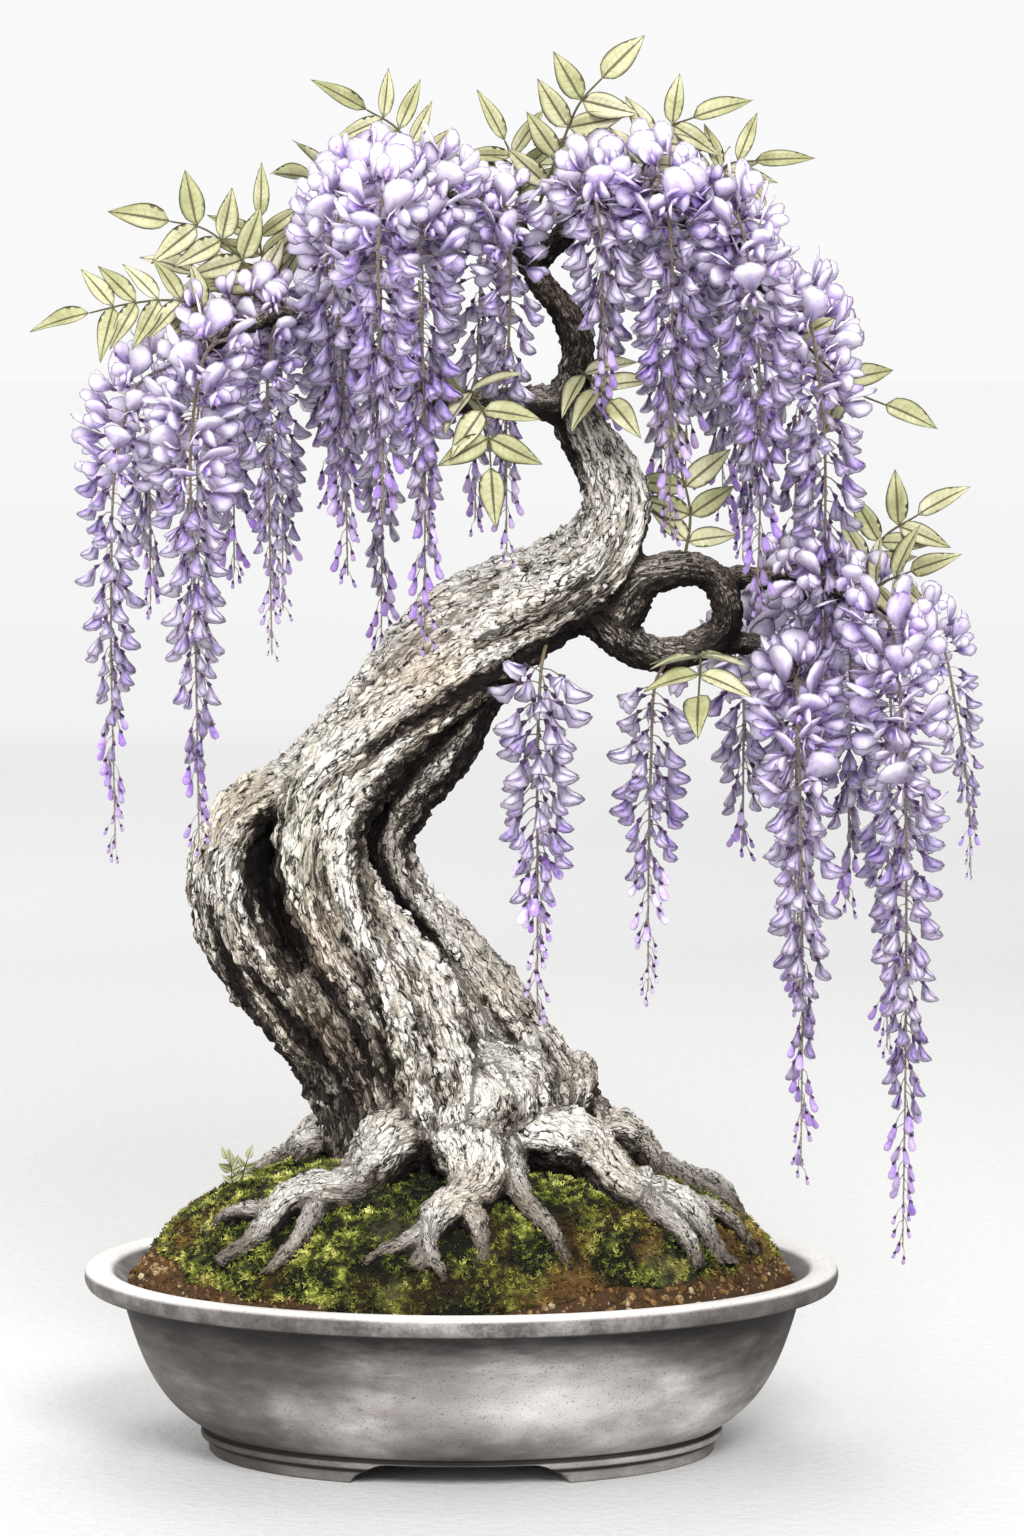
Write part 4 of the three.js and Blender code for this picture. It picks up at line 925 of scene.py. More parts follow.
class Limb:
    """A limb's middle line with its thickness and two directions across it, in metres."""

    def __init__(self, route, crook=0.0):
        path = smooth_path(route, 3)
        self.centre = path[:, :3] * mm + pot_middle
        self.radius = path[:, 3] * mm
        self.tangent = unit(np.gradient(self.centre, axis=0))
        across = np.empty_like(self.centre)
        side = np.array((0.9, 0.3, 0.1))
        for i, tangent in enumerate(self.tangent):
            side = unit(side - tangent * side.dot(tangent))
            across[i] = side
        self.across = across
        self.up = np.cross(self.tangent, across)
        steps = np.linalg.norm(np.diff(self.centre, axis=0), axis=1)
        self.along = np.concatenate([[0], np.cumsum(steps)])
        # A crooked limb sways to its sides by a share of its own thickness.
        sway = crook * self.radius * np.sin(self.along * 105 + 40 * self.centre[0, 0])
        bob = crook * self.radius * np.sin(self.along * 160 + 90 * self.centre[0, 1])
        self.centre = self.centre + across * sway[:, None] + self.up * bob[:, None] * 0.5
        self.flake = flake_width * np.clip(self.radius / 0.022, 0.35, 1.1) ** 0.6
        flakes = steps / (flake_stretch * self.flake[1:])
        self.flakes_along = np.concatenate([[0], np.cumsum(flakes)])

    def cord(self, angle, twist, depth, thickness):
        """The middle line and radius of a cord that winds round the limb."""
        turn = angle + twist * self.along + 0.25 * np.sin(self.along * 23 + 5 * angle)
        out = self.across * np.cos(turn)[:, None] + self.up * np.sin(turn)[:, None]
        sway = 1 + 0.16 * np.sin(self.along * 41 + 3 * angle)
        centre = self.centre + out * (depth * self.radius)[:, None]
        return centre, thickness * self.radius * sway


def add_tube(points, faces, centre, radius, sides=14):
    """A closed tube round a middle line, appended to a list of points and faces."""
    tangent = unit(np.gradient(centre, axis=0))
    side = np.array((0.31, 0.9, 0.2))
    start = len(points)
    turns = np.linspace(0, 2 * math.pi, sides, endpoint=False)
    for place, along, thick in zip(centre, tangent, radius):
        side = unit(side - along * side.dot(along))
        up = np.cross(along, side)
        points.extend(place + thick * (np.cos(t) * side + np.sin(t) * up) for t in turns)
    count = len(centre)
    for ring in range(count - 1):
        low = start + ring * sides
        faces += [(low + i, low + (i + 1) % sides, low + sides + (i + 1) % sides, low + sides + i)
                  for i in range(sides)]
    points.append(centre[0] - tangent[0] * radius[0] * 0.6)
    points.append(centre[-1] + tangent[-1] * radius[-1] * 0.6)
    tail, nose = len(points) - 2, len(points) - 1
    last = start + (count - 1) * sides
    faces += [(tail, start + (i + 1) % sides, start + i) for i in range(sides)]
    faces += [(nose, last + i, last + (i + 1) % sides) for i in range(sides)]


def rooted(route):
    return [(x, y, float(moss_height(x, y)) + over, radius) for x, y, over, radius in route]


strand_limbs = [Limb(route) for route in strands.values()]
root_limbs = [Limb(rooted(route), 0.35) for route in roots]
branch_limbs = [Limb(route, 0.3) for route in branches.values()]
limbs = strand_limbs + root_limbs + branch_limbs


def grown_together():
    """All limbs and their cords in one skin, cut flat where the soil hides them."""
    chance = random.Random(17)
    points, faces = [], []
    for limb in limbs:
        is_strand = limb in strand_limbs
        is_root = limb in root_limbs
        core = 0.84 if is_strand else 0.88 if is_root else 1.0
        add_tube(points, faces, limb.centre, limb.radius * core, 18)
        cords = 6 if is_strand else 4 if is_root else 0
        first = chance.uniform(0, 6.28)
        twist = chance.choice((-1, 1)) * chance.uniform(4, 7)
        for number in range(cords):
            angle = first + 2 * math.pi * number / cords + chance.uniform(-0.25, 0.25)
            centre, radius = limb.cord(angle, twist, 0.72, chance.uniform(0.27, 0.36))
            add_tube(points, faces, centre, radius, 10)
    wood = new_piece("bare_wood", new_mesh("bare_wood", [tuple(point) for point in points], faces))
    remesh = wood.modifiers.new("grown_together", "REMESH")
    remesh.mode = "VOXEL"
    remesh.voxel_size = bark_voxel
    relax = wood.modifiers.new("relax", "SMOOTH")
    relax.factor = 0.5
    relax.iterations = 1
    skin = bmesh.new()
    skin.from_mesh(plain_mesh(wood, "trunk_skin"))
    cut = bmesh.ops.bisect_plane(skin, geom=skin.verts[:] + skin.edges[:] + skin.faces[:],
                                 plane_co=(0, 0, trunk_foot), plane_no=(0, 0, -1), clear_outer=True)
    rim = [item for item in cut["geom_cut"] if isinstance(item, bmesh.types.BMEdge)]
    bmesh.ops.holes_fill(skin, edges=rim)
    mesh = bpy.data.meshes.new("trunk_skin")
    skin.to_mesh(mesh)
    skin.free()
    mesh.shade_smooth()
    return mesh


def read_points(mesh, what="co"):
    source = mesh.vertices if what == "co" else mesh.vertex_normals
    flat = np.empty(3 * len(mesh.vertices), np.float32)
    source.foreach_get("co" if what == "co" else "vector", flat)
    return flat.reshape(-1, 3)


def add_grain(mesh):
    """Gives each point its place in the grain of the nearest limb, counted in flakes of bark, the
    size of a flake there and the limb's radius."""
    place = read_points(mesh)
    centres = np.concatenate([limb.centre for limb in limbs]).astype(np.float32)
    radii = np.concatenate([limb.radius for limb in limbs]).astype(np.float32)
    starts = np.cumsum([0] + [len(limb.centre) for limb in limbs])
    count = len(place)
    which = np.empty(count, int)
    for begin in range(0, count, 4000):
        chunk = place[begin:begin + 4000]
        squared = ((chunk ** 2).sum(1)[:, None] - 2 * chunk @ centres.T + (centres ** 2).sum(1))
        which[begin:begin + 4000] = (np.sqrt(np.maximum(squared, 0)) - radii).argmin(1)
    owner = np.searchsorted(starts, which, side="right") - 1
    grain = np.empty((count, 3), np.float32)
    girth = np.empty(count, np.float32)
    flake = np.empty(count, np.float32)
    for number, limb in enumerate(limbs):
        mine = np.flatnonzero(owner == number)
        if not len(mine):
            continue
        here = which[mine] - starts[number]
        offset = place[mine] - limb.centre[here]
        ahead = (offset * limb.tangent[here]).sum(1)
        there = np.clip(here + np.sign(ahead).astype(int), 0, len(limb.centre) - 1)
        gap = np.abs(limb.along[there] - limb.along[here])
        weight = np.clip(np.abs(ahead) / np.maximum(gap, 1e-6), 0, 1)[:, None]

        def between(values):
            low, high = values[here], values[there]
            if values.ndim == 1:
                return low * (1 - weight[:, 0]) + high * weight[:, 0]
            return low * (1 - weight) + high * weight

        offset = place[mine] - between(limb.centre)
        size = between(limb.flake)
        turn = between(limb.along) * 6.0
        x = (offset * between(limb.across)).sum(1) / size
        y = (offset * between(limb.up)).sum(1) / size
        grain[mine, 0] = x * np.cos(turn) + y * np.sin(turn) + 17.3 * number
        grain[mine, 1] = y * np.cos(turn) - x * np.sin(turn) + 5.1 * number
        grain[mine, 2] = between(limb.flakes_along) + 31.7 * number
        girth[mine] = between(limb.radius)
        flake[mine] = size
    mesh.attributes.new("grain", "FLOAT_VECTOR", "POINT").data.foreach_set("vector", grain.ravel())
    mark(mesh, "girth", girth)
    mark(mesh, "flake", flake)


def evened(mesh, values, rounds, pull=0.6):
    """Each value drawn towards the mean of its neighbours', a number of times over."""
    edges = np.empty(2 * len(mesh.edges), int)
    mesh.edges.foreach_get("vertices", edges)
    a, b = edges.reshape(-1, 2).T
    count = len(values)
    share = np.maximum(np.bincount(a, minlength=count) + np.bincount(b, minlength=count), 1)
    for _ in range(rounds):
        total = np.bincount(a, values[b], count) + np.bincount(b, values[a], count)
        values = (1 - pull) * values + pull * total / share
    return values


def add_hollows(mesh, reach=0.05, rays=9):
    """Gives each point the share of short lines out of it that meet wood, how far it stands proud
    of the wood round it, how much it faces the painted light, and whether it is clear of the
    ground."""
    place = read_points(mesh)
    normal = read_points(mesh, "normal")
    tree = BVHTree.FromPolygons(place.tolist(), [tuple(face.vertices) for face in mesh.polygons])
    side = unit(np.cross(normal, np.where(np.abs(normal[:, 2:3]) < 0.9, (0, 0, 1), (1, 0, 0))))
    other = np.cross(normal, side)
    blocked = np.zeros(len(place))
    lift = (place + normal * 0.0012).tolist()
    for ray in range(rays):
        turn = 2.4 * ray
        lean = math.asin(math.sqrt((ray + 0.5) / rays) * 0.93)
        sideways = side * math.cos(turn) + other * math.sin(turn)
        aim = normal * math.cos(lean) + sideways * math.sin(lean)
        hits = [tree.ray_cast(p, a, reach)[3] for p, a in zip(lift, aim.tolist())]
        blocked += np.array([0.0 if hit is None else 1.0 - 0.6 * hit / reach for hit in hits])
    mark(mesh, "hollow", evened(mesh, blocked / rays, 5))
    level = np.stack([evened(mesh, place[:, axis].astype(float), 16) for axis in range(3)], axis=1)
    proud = ((place - level) * normal).sum(1) / 0.0011
    mark(mesh, "proud", evened(mesh, np.clip(proud, -1, 1), 1))
    # Painted light: the bark is painted paler where it faces up, and where it faces straight to the
    # front or the back.
    toward_light = unit(np.array((-0.10, -0.60, 0.79)))
    mark(mesh, "bleached",
         evened(mesh, normal * (1, 0, 1) @ toward_light + np.abs(normal[:, 1] * toward_light[1]), 6))
    x, y, z = ((place - pot_middle) / mm).T
    mark(mesh, "clear", np.clip((z - moss_height(x, y)) / 16, 0, 1))


def bark_recipe():
    recipe = Recipe("bark_relief", {"Ridge Height": "Float", "Flake Height": "Float"})
    given = recipe.given
    grain = recipe.attribute("grain", "FLOAT_VECTOR")
    girth = recipe.attribute("girth")
    flake = recipe.attribute("flake")

    def noise(x, y, z, detail=2.0, out=0):
        at = recipe.vector("MULTIPLY", grain, (x, y, z))
        return recipe.put("ShaderNodeTexNoise", {"Vector": at, "Scale": 1.0, "Detail": detail}, out)

    ridge = recipe.spread(noise(0.30, 0.30, 0.12), 0.28, 0.72, -1.0, 1.0)
    strings = recipe.spread(noise(0.85, 0.85, 0.20), 0.28, 0.72, -1.0, 1.0)
    knobs = recipe.spread(noise(0.75, 0.75, 1.5), 0.30, 0.70, -1.0, 1.0)
    wander = recipe.vector("SUBTRACT", noise(0.5, 0.5, 0.5, out="Color"), (0.5, 0.5, 0.5))
    ripple = recipe.vector("SUBTRACT", noise(1.8, 1.8, 1.8, out="Color"), (0.5, 0.5, 0.5))
    at = recipe.vector("ADD", grain, recipe.scaled(wander, 1.6))
    at = recipe.vector("ADD", at, recipe.scaled(ripple, 0.8))
    cells = {"Vector": at, "Scale": 1.2, "Randomness": 1.0}
    gap = recipe.put("ShaderNodeTexVoronoi", cells, feature="DISTANCE_TO_EDGE")
    plate = recipe.spread(gap, 0.0, 0.26)
    chance = recipe.axis(recipe.put("ShaderNodeTexVoronoi", cells, "Color"), "X")
    flakes = recipe.plus(recipe.times(plate, 0.5), recipe.times(chance, 0.8),
                         recipe.times(knobs, 0.75))
    ridges = recipe.times(recipe.plus(ridge, recipe.times(strings, 0.6)), girth,
                          given["Ridge Height"])
    chips = recipe.times(recipe.minus(flakes, 0.55), flake, given["Flake Height"])
    relief = recipe.plus(recipe.spread(ridge, -1.0, 1.0, 0.0, 0.5),
                         recipe.spread(strings, -1.0, 1.0, 0.0, 0.5))
    bark = recipe.store(given["Geometry"], "relief", relief)
    recipe.finish(lifted(recipe, bark, recipe.plus(ridges, chips)), bark_material())
    return recipe


def bark_material():
    bark = Finish("old_wisteria_bark", Roughness=0.88, Specular_IOR_Level=0.15)
    grain = bark.attribute("grain", "Vector")
    relief = bark.attribute("relief")
    hollow = bark.attribute("hollow")
    proud = bark.attribute("proud")
    bleached = bark.attribute("bleached")
    girth = bark.attribute("girth")
    at = grain
    for scale, shift in ((0.5, 1.6), (1.8, 0.8)):
        wander = bark.put("ShaderNodeVectorMath", {0: bark.noise(scale, 2.0, 0.5, grain, "Color"),
                                                   1: (0.5, 0.5, 0.5)}, operation="SUBTRACT")
        wander = bark.put("ShaderNodeVectorMath", {0: wander, "Scale": shift}, operation="SCALE")
        at = bark.put("ShaderNodeVectorMath", {0: at, 1: wander}, operation="ADD")
    cells = {"Vector": at, "Scale": 1.2, "Randomness": 1.0}
    gap = bark.put("ShaderNodeTexVoronoi", cells, feature="DISTANCE_TO_EDGE")
    chance = bark.axis(bark.put("ShaderNodeTexVoronoi", cells, "Color"), "X")
    splits = bark.noise(1.0, 4.0, 0.62, bark.stretched(2.3, 2.3, 0.5, grain))
    fibres = bark.noise(1.0, 3.0, 0.6, bark.stretched(6.0, 6.0, 0.8, grain))
    chips = bark.noise(1.0, 3.0, 0.7, bark.stretched(2.2, 2.2, 1.7, at))
    broken = bark.noise(1.1, 2.0, 0.5, grain)
    blotches, _ = mottled(bark, 22.0, 640.0, 0.6)

    # Painted highlight and shade: raised cords and ridges and the side toward the painted light are
    # painted pale, grooves and hollows darker; flakes also differ at random in tone.
    light = bark.plus(bark.spread(relief, 0.22, 0.80, -0.02, 0.30),
                      bark.spread(proud, -0.8, 0.8, -0.16, 0.28),
                      bark.spread(chance, 0.0, 1.0, -0.12, 0.34),
                      bark.spread(fibres, 0.3, 0.7, -0.15, 0.15),
                      bark.spread(bleached, -0.15, 0.85, -0.42, 0.42))
    light = bark.minus(light, bark.times(bark.spread(hollow, 0.14, 0.55), 0.55))
    colour = bark.ramp(light, [
        (0.0, paint(36, 31, 28)), (0.16, paint(86, 78, 71)), (0.32, paint(148, 139, 128)),
        (0.50, paint(210, 202, 189)), (0.70, paint(252, 247, 238)),
    ])
    warm = bark.spread(bark.noise(14.0, 3.0), 0.5, 0.72)
    colour = bark.cover(colour, warm, 0.42, paint(200, 168, 118), "MULTIPLY")
    green = bark.spread(bark.noise(11.0, 3.0, 0.6, bark.stretched(1, 1, 0.8)), 0.55, 0.75)
    colour = bark.cover(colour, green, 0.4, paint(166, 168, 112), "MULTIPLY")
    colour = bark.cover(colour, blotches, 0.14, paint(96, 84, 78))
    # Branches are younger, browner and more cracked than the trunk and its roots.
    young = bark.times(bark.spread(girth, 0.018, 0.008),
                       bark.spread(bark.axis(bark.place, "Z"), 0.34, 0.40))
    colour = bark.cover(colour, young, 0.7, paint(132, 116, 103), "MULTIPLY")
    # Wet soil stains the roots where they lie on the ground, and painted shade darkens them where
    # they meet the moss.
    soil_stain_and_shade = bark.minus(bark.spread(chips, 0.35, 0.65, 0.62, 1.0), bark.attribute("clear"))
    colour = bark.mix(bark.spread(soil_stain_and_shade, 0.0, 0.7, 0.0, 0.85), colour, paint(104, 88, 72),
                      "MULTIPLY")
    # Cracks and chipped spots are painted fewest on the side toward the painted light, so that they
    # thicken on the shaded side as painted shade.
    sound = bark.minus(bark.spread(bleached, -0.2, 0.8, -0.08, 0.045), bark.times(young, 0.06))
    edge = bark.times(bark.spread(gap, 0.15, 0.03),
                      bark.spread(bark.minus(broken, sound), 0.42, 0.56, 0.12, 1.0))
    split = bark.times(bark.spread(bark.plus(splits, sound), 0.46, 0.39), 0.85)
    chip = bark.times(bark.spread(bark.plus(chips, sound), 0.47, 0.41), 0.92)
    crack = bark.math("MAXIMUM", bark.math("MAXIMUM", edge, split), chip)
    colour = bark.mix(crack, colour, paint(26, 21, 19))
    # Painted shade: the deep hollows between the strands are painted near black.
    colour = bark.cover(colour, bark.spread(hollow, 0.28, 0.62), 0.94, paint(18, 15, 14))
    height = bark.plus(bark.spread(gap, 0.0, 0.16), bark.times(fibres, 0.5),
                       bark.spread(splits, 0.34, 0.5, -0.7, 0.0),
                       bark.spread(chips, 0.34, 0.60, -0.5, 0.5))
    return bark.wear(colour, height=height, depth=0.0016, strength=0.9)


trunk_skin = grown_together()
add_grain(trunk_skin)
add_hollows(trunk_skin)
trunk = bark_recipe().make(bpy.data.objects.new("trunk_skin", trunk_skin), "trunk_and_branches",
                           {"Ridge Height": ridge_height, "Flake Height": flake_height})
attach(trunk, "root")
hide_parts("trunk")

# ---------------------------------------------------------------- racemes
#
# Each raceme is a thin olive-brown stem that arches off its twig and hangs.  Open florets crowd
# its upper half, on short stalks that wind round the stem.  Spoon-shaped ones that are still
# folded hang below them, and buds of lessening size follow down to the tip.

raceme_routes = [
    # top left
    (1, [(-34, -20, 664), (-53, -32, 670), (-64, -38, 640), (-60, -33, 570), (-58, -30, 467)]),
    (1, [(-8, -28, 664), (-14, -44, 672), (-20, -50, 636), (-18, -48, 560), (-18, -46, 437)]),
    (0.85, [(18, -5, 654), (24, -24, 656), (26, -28, 620), (24, -24, 560), (24, -22, 479)]),
    (1, [(-26, 4, 664), (-38, 22, 668), (-42, 34, 634), (-42, 40, 540), (-43, 42, 414)]),
    (1, [(-2, 50, 655), (8, 62, 658), (10, 66, 626), (8, 64, 570), (7, 60, 491)]),
    (1, [(-44, 62, 650), (-62, 58, 656), (-72, 58, 628), (-72, 58, 580), (-71, 58, 503)]),
    (1, [(-34, 78, 652), (-26, 98, 656), (-22, 106, 626), (-22, 108, 570), (-22, 106, 489)]),
    (1, [(-52, 98, 644), (-64, 108, 644), (-68, 112, 616), (-66, 112, 570), (-64, 112, 489)]),
    (1, [(-34, -68, 660), (-38, -84, 660), (-40, -90, 632), (-39, -90, 580), (-38, -88, 500)]),
    # left
    (0.9,
     [(-142, -8, 577), (-166, -12, 566), (-178, -12, 528), (-182, -11, 453), (-181, -10, 323)]),
    (1, [(-116, -34, 590), (-128, -42, 584), (-137, -46, 540), (-136, -44, 450), (-135, -42, 330)]),
    (0.75, [(-86, -2, 597), (-94, -16, 600), (-99, -22, 570), (-99, -20, 510), (-98, -18, 425)]),
    (1, [(-130, 30, 590), (-152, 42, 580), (-166, 46, 548), (-166, 46, 500), (-166, 46, 449)]),
    (1, [(-98, 50, 594), (-116, 44, 590), (-122, 42, 562), (-121, 42, 520), (-121, 42, 465)]),
    (1, [(-124, 84, 586), (-138, 98, 578), (-144, 102, 545), (-144, 102, 490), (-144, 100, 423)]),
    (0.9, [(-110, 72, 590), (-100, 90, 588), (-98, 98, 560), (-98, 98, 510), (-98, 98, 440)]),
    # top right
    (1, [(95, -18, 662), (102, -36, 672), (108, -46, 636), (108, -42, 570), (108, -38, 492)]),
    (1, [(126, -18, 652), (140, -34, 654), (150, -44, 610), (154, -44, 540), (153, -42, 455)]),
    (1, [(160, -12, 612), (176, -20, 606), (187, -24, 550), (189, -21, 470), (190, -20, 377)]),
    (1, [(70, -14, 657), (68, -36, 668), (72, -48, 642), (73, -50, 610), (74, -50, 566)]),
    (1, [(98, 20, 655), (114, 18, 660), (120, 20, 628), (119, 20, 580), (118, 20, 518)]),
    (1, [(164, 54, 604), (176, 46, 604), (180, 44, 570), (178, 44, 520), (176, 44, 465)]),
    (1, [(72, 32, 652), (70, 56, 662), (74, 68, 632), (74, 68, 580), (74, 66, 520)]),
    (1, [(114, 74, 650), (108, 94, 654), (108, 102, 620), (108, 102, 560), (108, 100, 489)]),
    (1, [(140, 94, 628), (152, 108, 624), (156, 112, 590), (154, 112, 540), (153, 110, 467)]),
    (1, [(148, 52, 626), (138, 62, 630), (138, 68, 600), (139, 68, 560), (140, 66, 500)]),
    # right
    (1.1, [(46, -6, 434), (42, -36, 420), (40, -42, 380), (40, -40, 320), (40, -36, 242)]),
    (0.95, [(108, -4, 421), (101, -24, 410), (99, -26, 370), (98, -24, 320), (98, -20, 249)]),
    (1, [(176, 4, 410), (174, -34, 412), (175, -48, 360), (177, -48, 260), (177, -46, 161)]),
    (1, [(212, -40, 450), (220, -52, 444), (228, -50, 380), (231, -44, 250), (231, -38, 116)]),
    (0.7, [(232, 8, 449), (250, 14, 436), (262, 16, 390), (268, 16, 350), (270, 16, 305)]),
    (1, [(202, 4, 453), (205, 16, 440), (206, 26, 404), (206, 28, 350), (206, 28, 290)]),
    (1, [(150, 10, 431), (148, 30, 424), (150, 34, 396), (150, 34, 360), (150, 32, 318)]),
    (1, [(196, 54, 460), (186, 68, 452), (182, 74, 410), (182, 74, 320), (182, 72, 228)]),
    (1, [(204, 78, 448), (222, 88, 440), (232, 90, 400), (232, 88, 300), (232, 84, 201)]),
    (1, [(168, 8, 420), (174, 30, 412), (178, 36, 380), (178, 36, 330), (178, 34, 262)]),
]

# Two racemes that leave the trunk from below keep a longer share of their stem bare.
bare_tops = {27: 0.15, 28: 0.12}

# Short spurs of open flowers cover the top of each flowering twig.
spur_routes = [
    [(-46, -4, 584), (-70, -8, 598), (-95, -12, 605), (-118, -16, 603), (-138, -16, 592),
     (-152, -16, 578)],
    [(-60, 22, 594), (-84, 44, 600), (-106, 66, 598), (-124, 84, 588)],
    [(16, -10, 658), (-4, -20, 668), (-28, -26, 672), (-50, -28, 664)],
    [(8, 30, 654), (-14, 54, 660), (-36, 78, 658), (-52, 96, 648)],
    [(50, -14, 652), (74, -22, 666), (98, -26, 670), (124, -26, 660), (146, -20, 642),
     (162, -16, 616)],
    [(66, 24, 656), (92, 50, 662), (118, 70, 654), (140, 88, 634)],
    [(122, 50, 654), (146, 50, 634), (162, 50, 612)],
    [(152, -2, 468), (176, -6, 466), (200, -6, 462), (222, 0, 456)],
    [(172, -10, 470), (194, -30, 466), (212, -42, 454)],
]

# How far apart florets stand on a stem, and how far they reach from it.
floret_spacing, full_spacing, spur_spacing = 0.00245, 0.0020, 0.0033
raceme_reach, spur_reach = 0.032, 0.026
# At a scale of 1 the floret shapes below reach this far.
drawn_reach = 0.031
raceme_stem_radius, spur_stem_radius = 0.0010, 0.0008
usual_bare_top = 0.035
usual_tip_size, slim_tip_size, spur_tip_size = 0.62, 0.48, 0.85


def route_length(route):
    """The length in metres of the smooth curve through a route."""
    return np.linalg.norm(np.diff(smooth_path(route, 4), axis=0), axis=1).sum() * mm


def new_curve(name, route):
    """A curve object through a route in millimetres from the middle of the pot."""
    path = smooth_path(route, 4)[:, :3] * mm + pot_middle
    curve = bpy.data.curves.new(name, "CURVE")
    curve.dimensions = "3D"
    spline = curve.splines.new("POLY")
    spline.points.add(len(path) - 1)
    for point, place in zip(spline.points, path):
        point.co = (*place, 1)
    return bpy.data.objects.new(name, curve)


class Floret:
    """Collects a floret's parts: what each point belongs to, and how near a petal's rim it is."""

    STALK, CALYX, BANNER, WING, KEEL = 0.0, 0.25, 0.5, 0.75, 1.0

    def __init__(self):
        self.points, self.faces, self.parts, self.rims = [], [], [], []

    def add_point(self, place, part, rim):
        self.points.append(tuple(place))
        self.parts.append(part)
        self.rims.append(rim)
        return len(self.points) - 1

    def tube(self, path, radii, sides, part):
        """A closed tube in the plane of the floret."""
        rings = []
        for i, (x, z) in enumerate(path):
            before, after = path[max(i - 1, 0)], path[min(i + 1, len(path) - 1)]
            slope = math.atan2(after[1] - before[1], after[0] - before[0])
            ring = []
            for side in range(sides):
                turn = 2 * math.pi * side / sides
                lift = radii[i] * math.sin(turn)
                place = (x - lift * math.sin(slope), radii[i] * math.cos(turn),
                         z + lift * math.cos(slope))
                ring.append(self.add_point(place, part, 0.4 + 0.45 * i / (len(path) - 1)))
            rings.append(ring)
        for low, high in zip(rings, rings[1:]):
            for side in range(sides):
                after = (side + 1) % sides
                self.faces.append((low[side], high[side], high[after], low[after]))
        self.faces.append(tuple(rings[0]))
        self.faces.append(tuple(reversed(rings[-1])))

    def petal(self, part, base, length, width, pitch, yaw=0.0, roll=0.0, curl=0.0, cup=0.0,
              hook=0.0, claw=0.3, corners=8, thickness=0.0008):
        """A rounded petal, narrow at its claw.  Pitch lifts it, curl bends it along its length,
        cup bends its sides and hook raises its end.  Both faces share the rim."""
        def place(share, across, side):
            bend = curl * share
            reach = length * (math.sin(bend) / curl if curl else share)
            lift = length * ((1 - math.cos(bend)) / curl if curl else 0.0)
            narrow = claw + (1 - claw) * min(1.0, share * 1.35)
            sideways = 0.5 * width * across * narrow
            lift += cup * (across * across - 0.5) * width * narrow + side * thickness / 2
            up = lift * math.cos(roll) - sideways * math.sin(roll)
            out = sideways * math.cos(roll) + lift * math.sin(roll)
            x = reach * math.cos(pitch) - up * math.sin(pitch)
            z = reach * math.sin(pitch) + up * math.cos(pitch) + hook * length * share * share
            return (base[0] + x * math.cos(yaw) - out * math.sin(yaw),
                    base[1] + x * math.sin(yaw) + out * math.cos(yaw),
                    base[2] + z)

        rim = []
        for corner in range(corners):
            turn = 2 * math.pi * corner / corners
            share = 0.5 - 0.5 * math.cos(turn)
            rim.append(self.add_point(place(share, math.sin(turn), 0), part,
                                      0.4 if share < 0.12 else 1.0))
        for side in (1, -1):
            heart = self.add_point(place(0.56, 0, side), part, 0.55)
            for corner in range(corners):
                after = (corner + 1) % corners
                face = (heart, rim[corner], rim[after])
                self.faces.append(face if side < 0 else tuple(reversed(face)))

    def finish(self, name):
        mesh = new_mesh(name, self.points, self.faces)
        mark(mesh, "part", self.parts)
        mark(mesh, "rim", self.rims)
        mesh.shade_smooth()
        return bpy.data.objects.new(name, mesh)


def stalked(stalk, drop):
    """A new floret with its stalk and the dark cup of its calyx."""
    floret = Floret()
    end = (stalk, -drop)
    floret.tube([(0, 0), (0.5 * stalk, 0.0003), end], [0.0005, 0.0004, 0.0005], 3, Floret.STALK)
    floret.tube([end, (stalk + 0.0028, -drop - 0.0008)], [0.0008, 0.0015], 5, Floret.CALYX)
    return floret


def open_floret(name, banner_pitch, banner, wing, yaw):
    """A floret with its round banner raised and its wings spread."""
    floret = stalked(0.0088, 0.0004)
    claw = 0.0112
    floret.petal(Floret.BANNER, (claw, 0, 0.0002), banner, 0.96 * banner, banner_pitch, yaw=yaw,
                 curl=-0.35, cup=-0.10, corners=12)
    for side in (1, -1):
        floret.petal(Floret.WING, (claw, side * 0.0012, -0.0008), wing, 0.78 * wing, -0.20,
                     yaw=side * 0.30, roll=side * 1.05, cup=side * 0.13, hook=0.12, corners=10)
    floret.petal(Floret.KEEL, (claw, 0, -0.0014), 0.74 * wing, 0.0072, -0.50, roll=1.57, hook=0.16,
                 corners=6, thickness=0.0026)
    return floret.finish(name)


def spoon_floret(name, length, width, stalk):
    """A floret whose petals are still folded together, like the bowl of a spoon."""
    floret = stalked(stalk, 0.0016)
    base = (stalk + 0.0022, 0, -0.0021)
    for side in (1, -1):
        floret.petal(Floret.WING, (base[0], side * 0.0006, base[2]), length, width, -0.98,
                     yaw=side * 0.07, roll=side * 1.34, cup=side * 0.14, hook=0.40, claw=0.12,
                     corners=10)
    floret.petal(Floret.BANNER, base, 0.88 * length, 0.80 * width, -0.78, curl=-0.1, cup=-0.44,
                 hook=0.32, claw=0.15)
    return floret.finish(name)


def bud(name, length, thickness, stalk):
    """A closed bud on its stalk, in its calyx.  It thickens towards its raised end."""
    floret = stalked(stalk, 0.0022)
    start = (stalk + 0.001, -0.0026)
    path, radii = [], []
    for share, girth in ((0, 0.4), (0.3, 0.72), (0.72, 1.0), (0.93, 0.74), (1, 0.25)):
        reach = length * share
        path.append((start[0] + 0.76 * reach, start[1] - 0.64 * reach + 0.26 * reach * share))
        radii.append(thickness * girth)
    floret.tube(path, radii, 6, Floret.BANNER)
    return floret.finish(name)


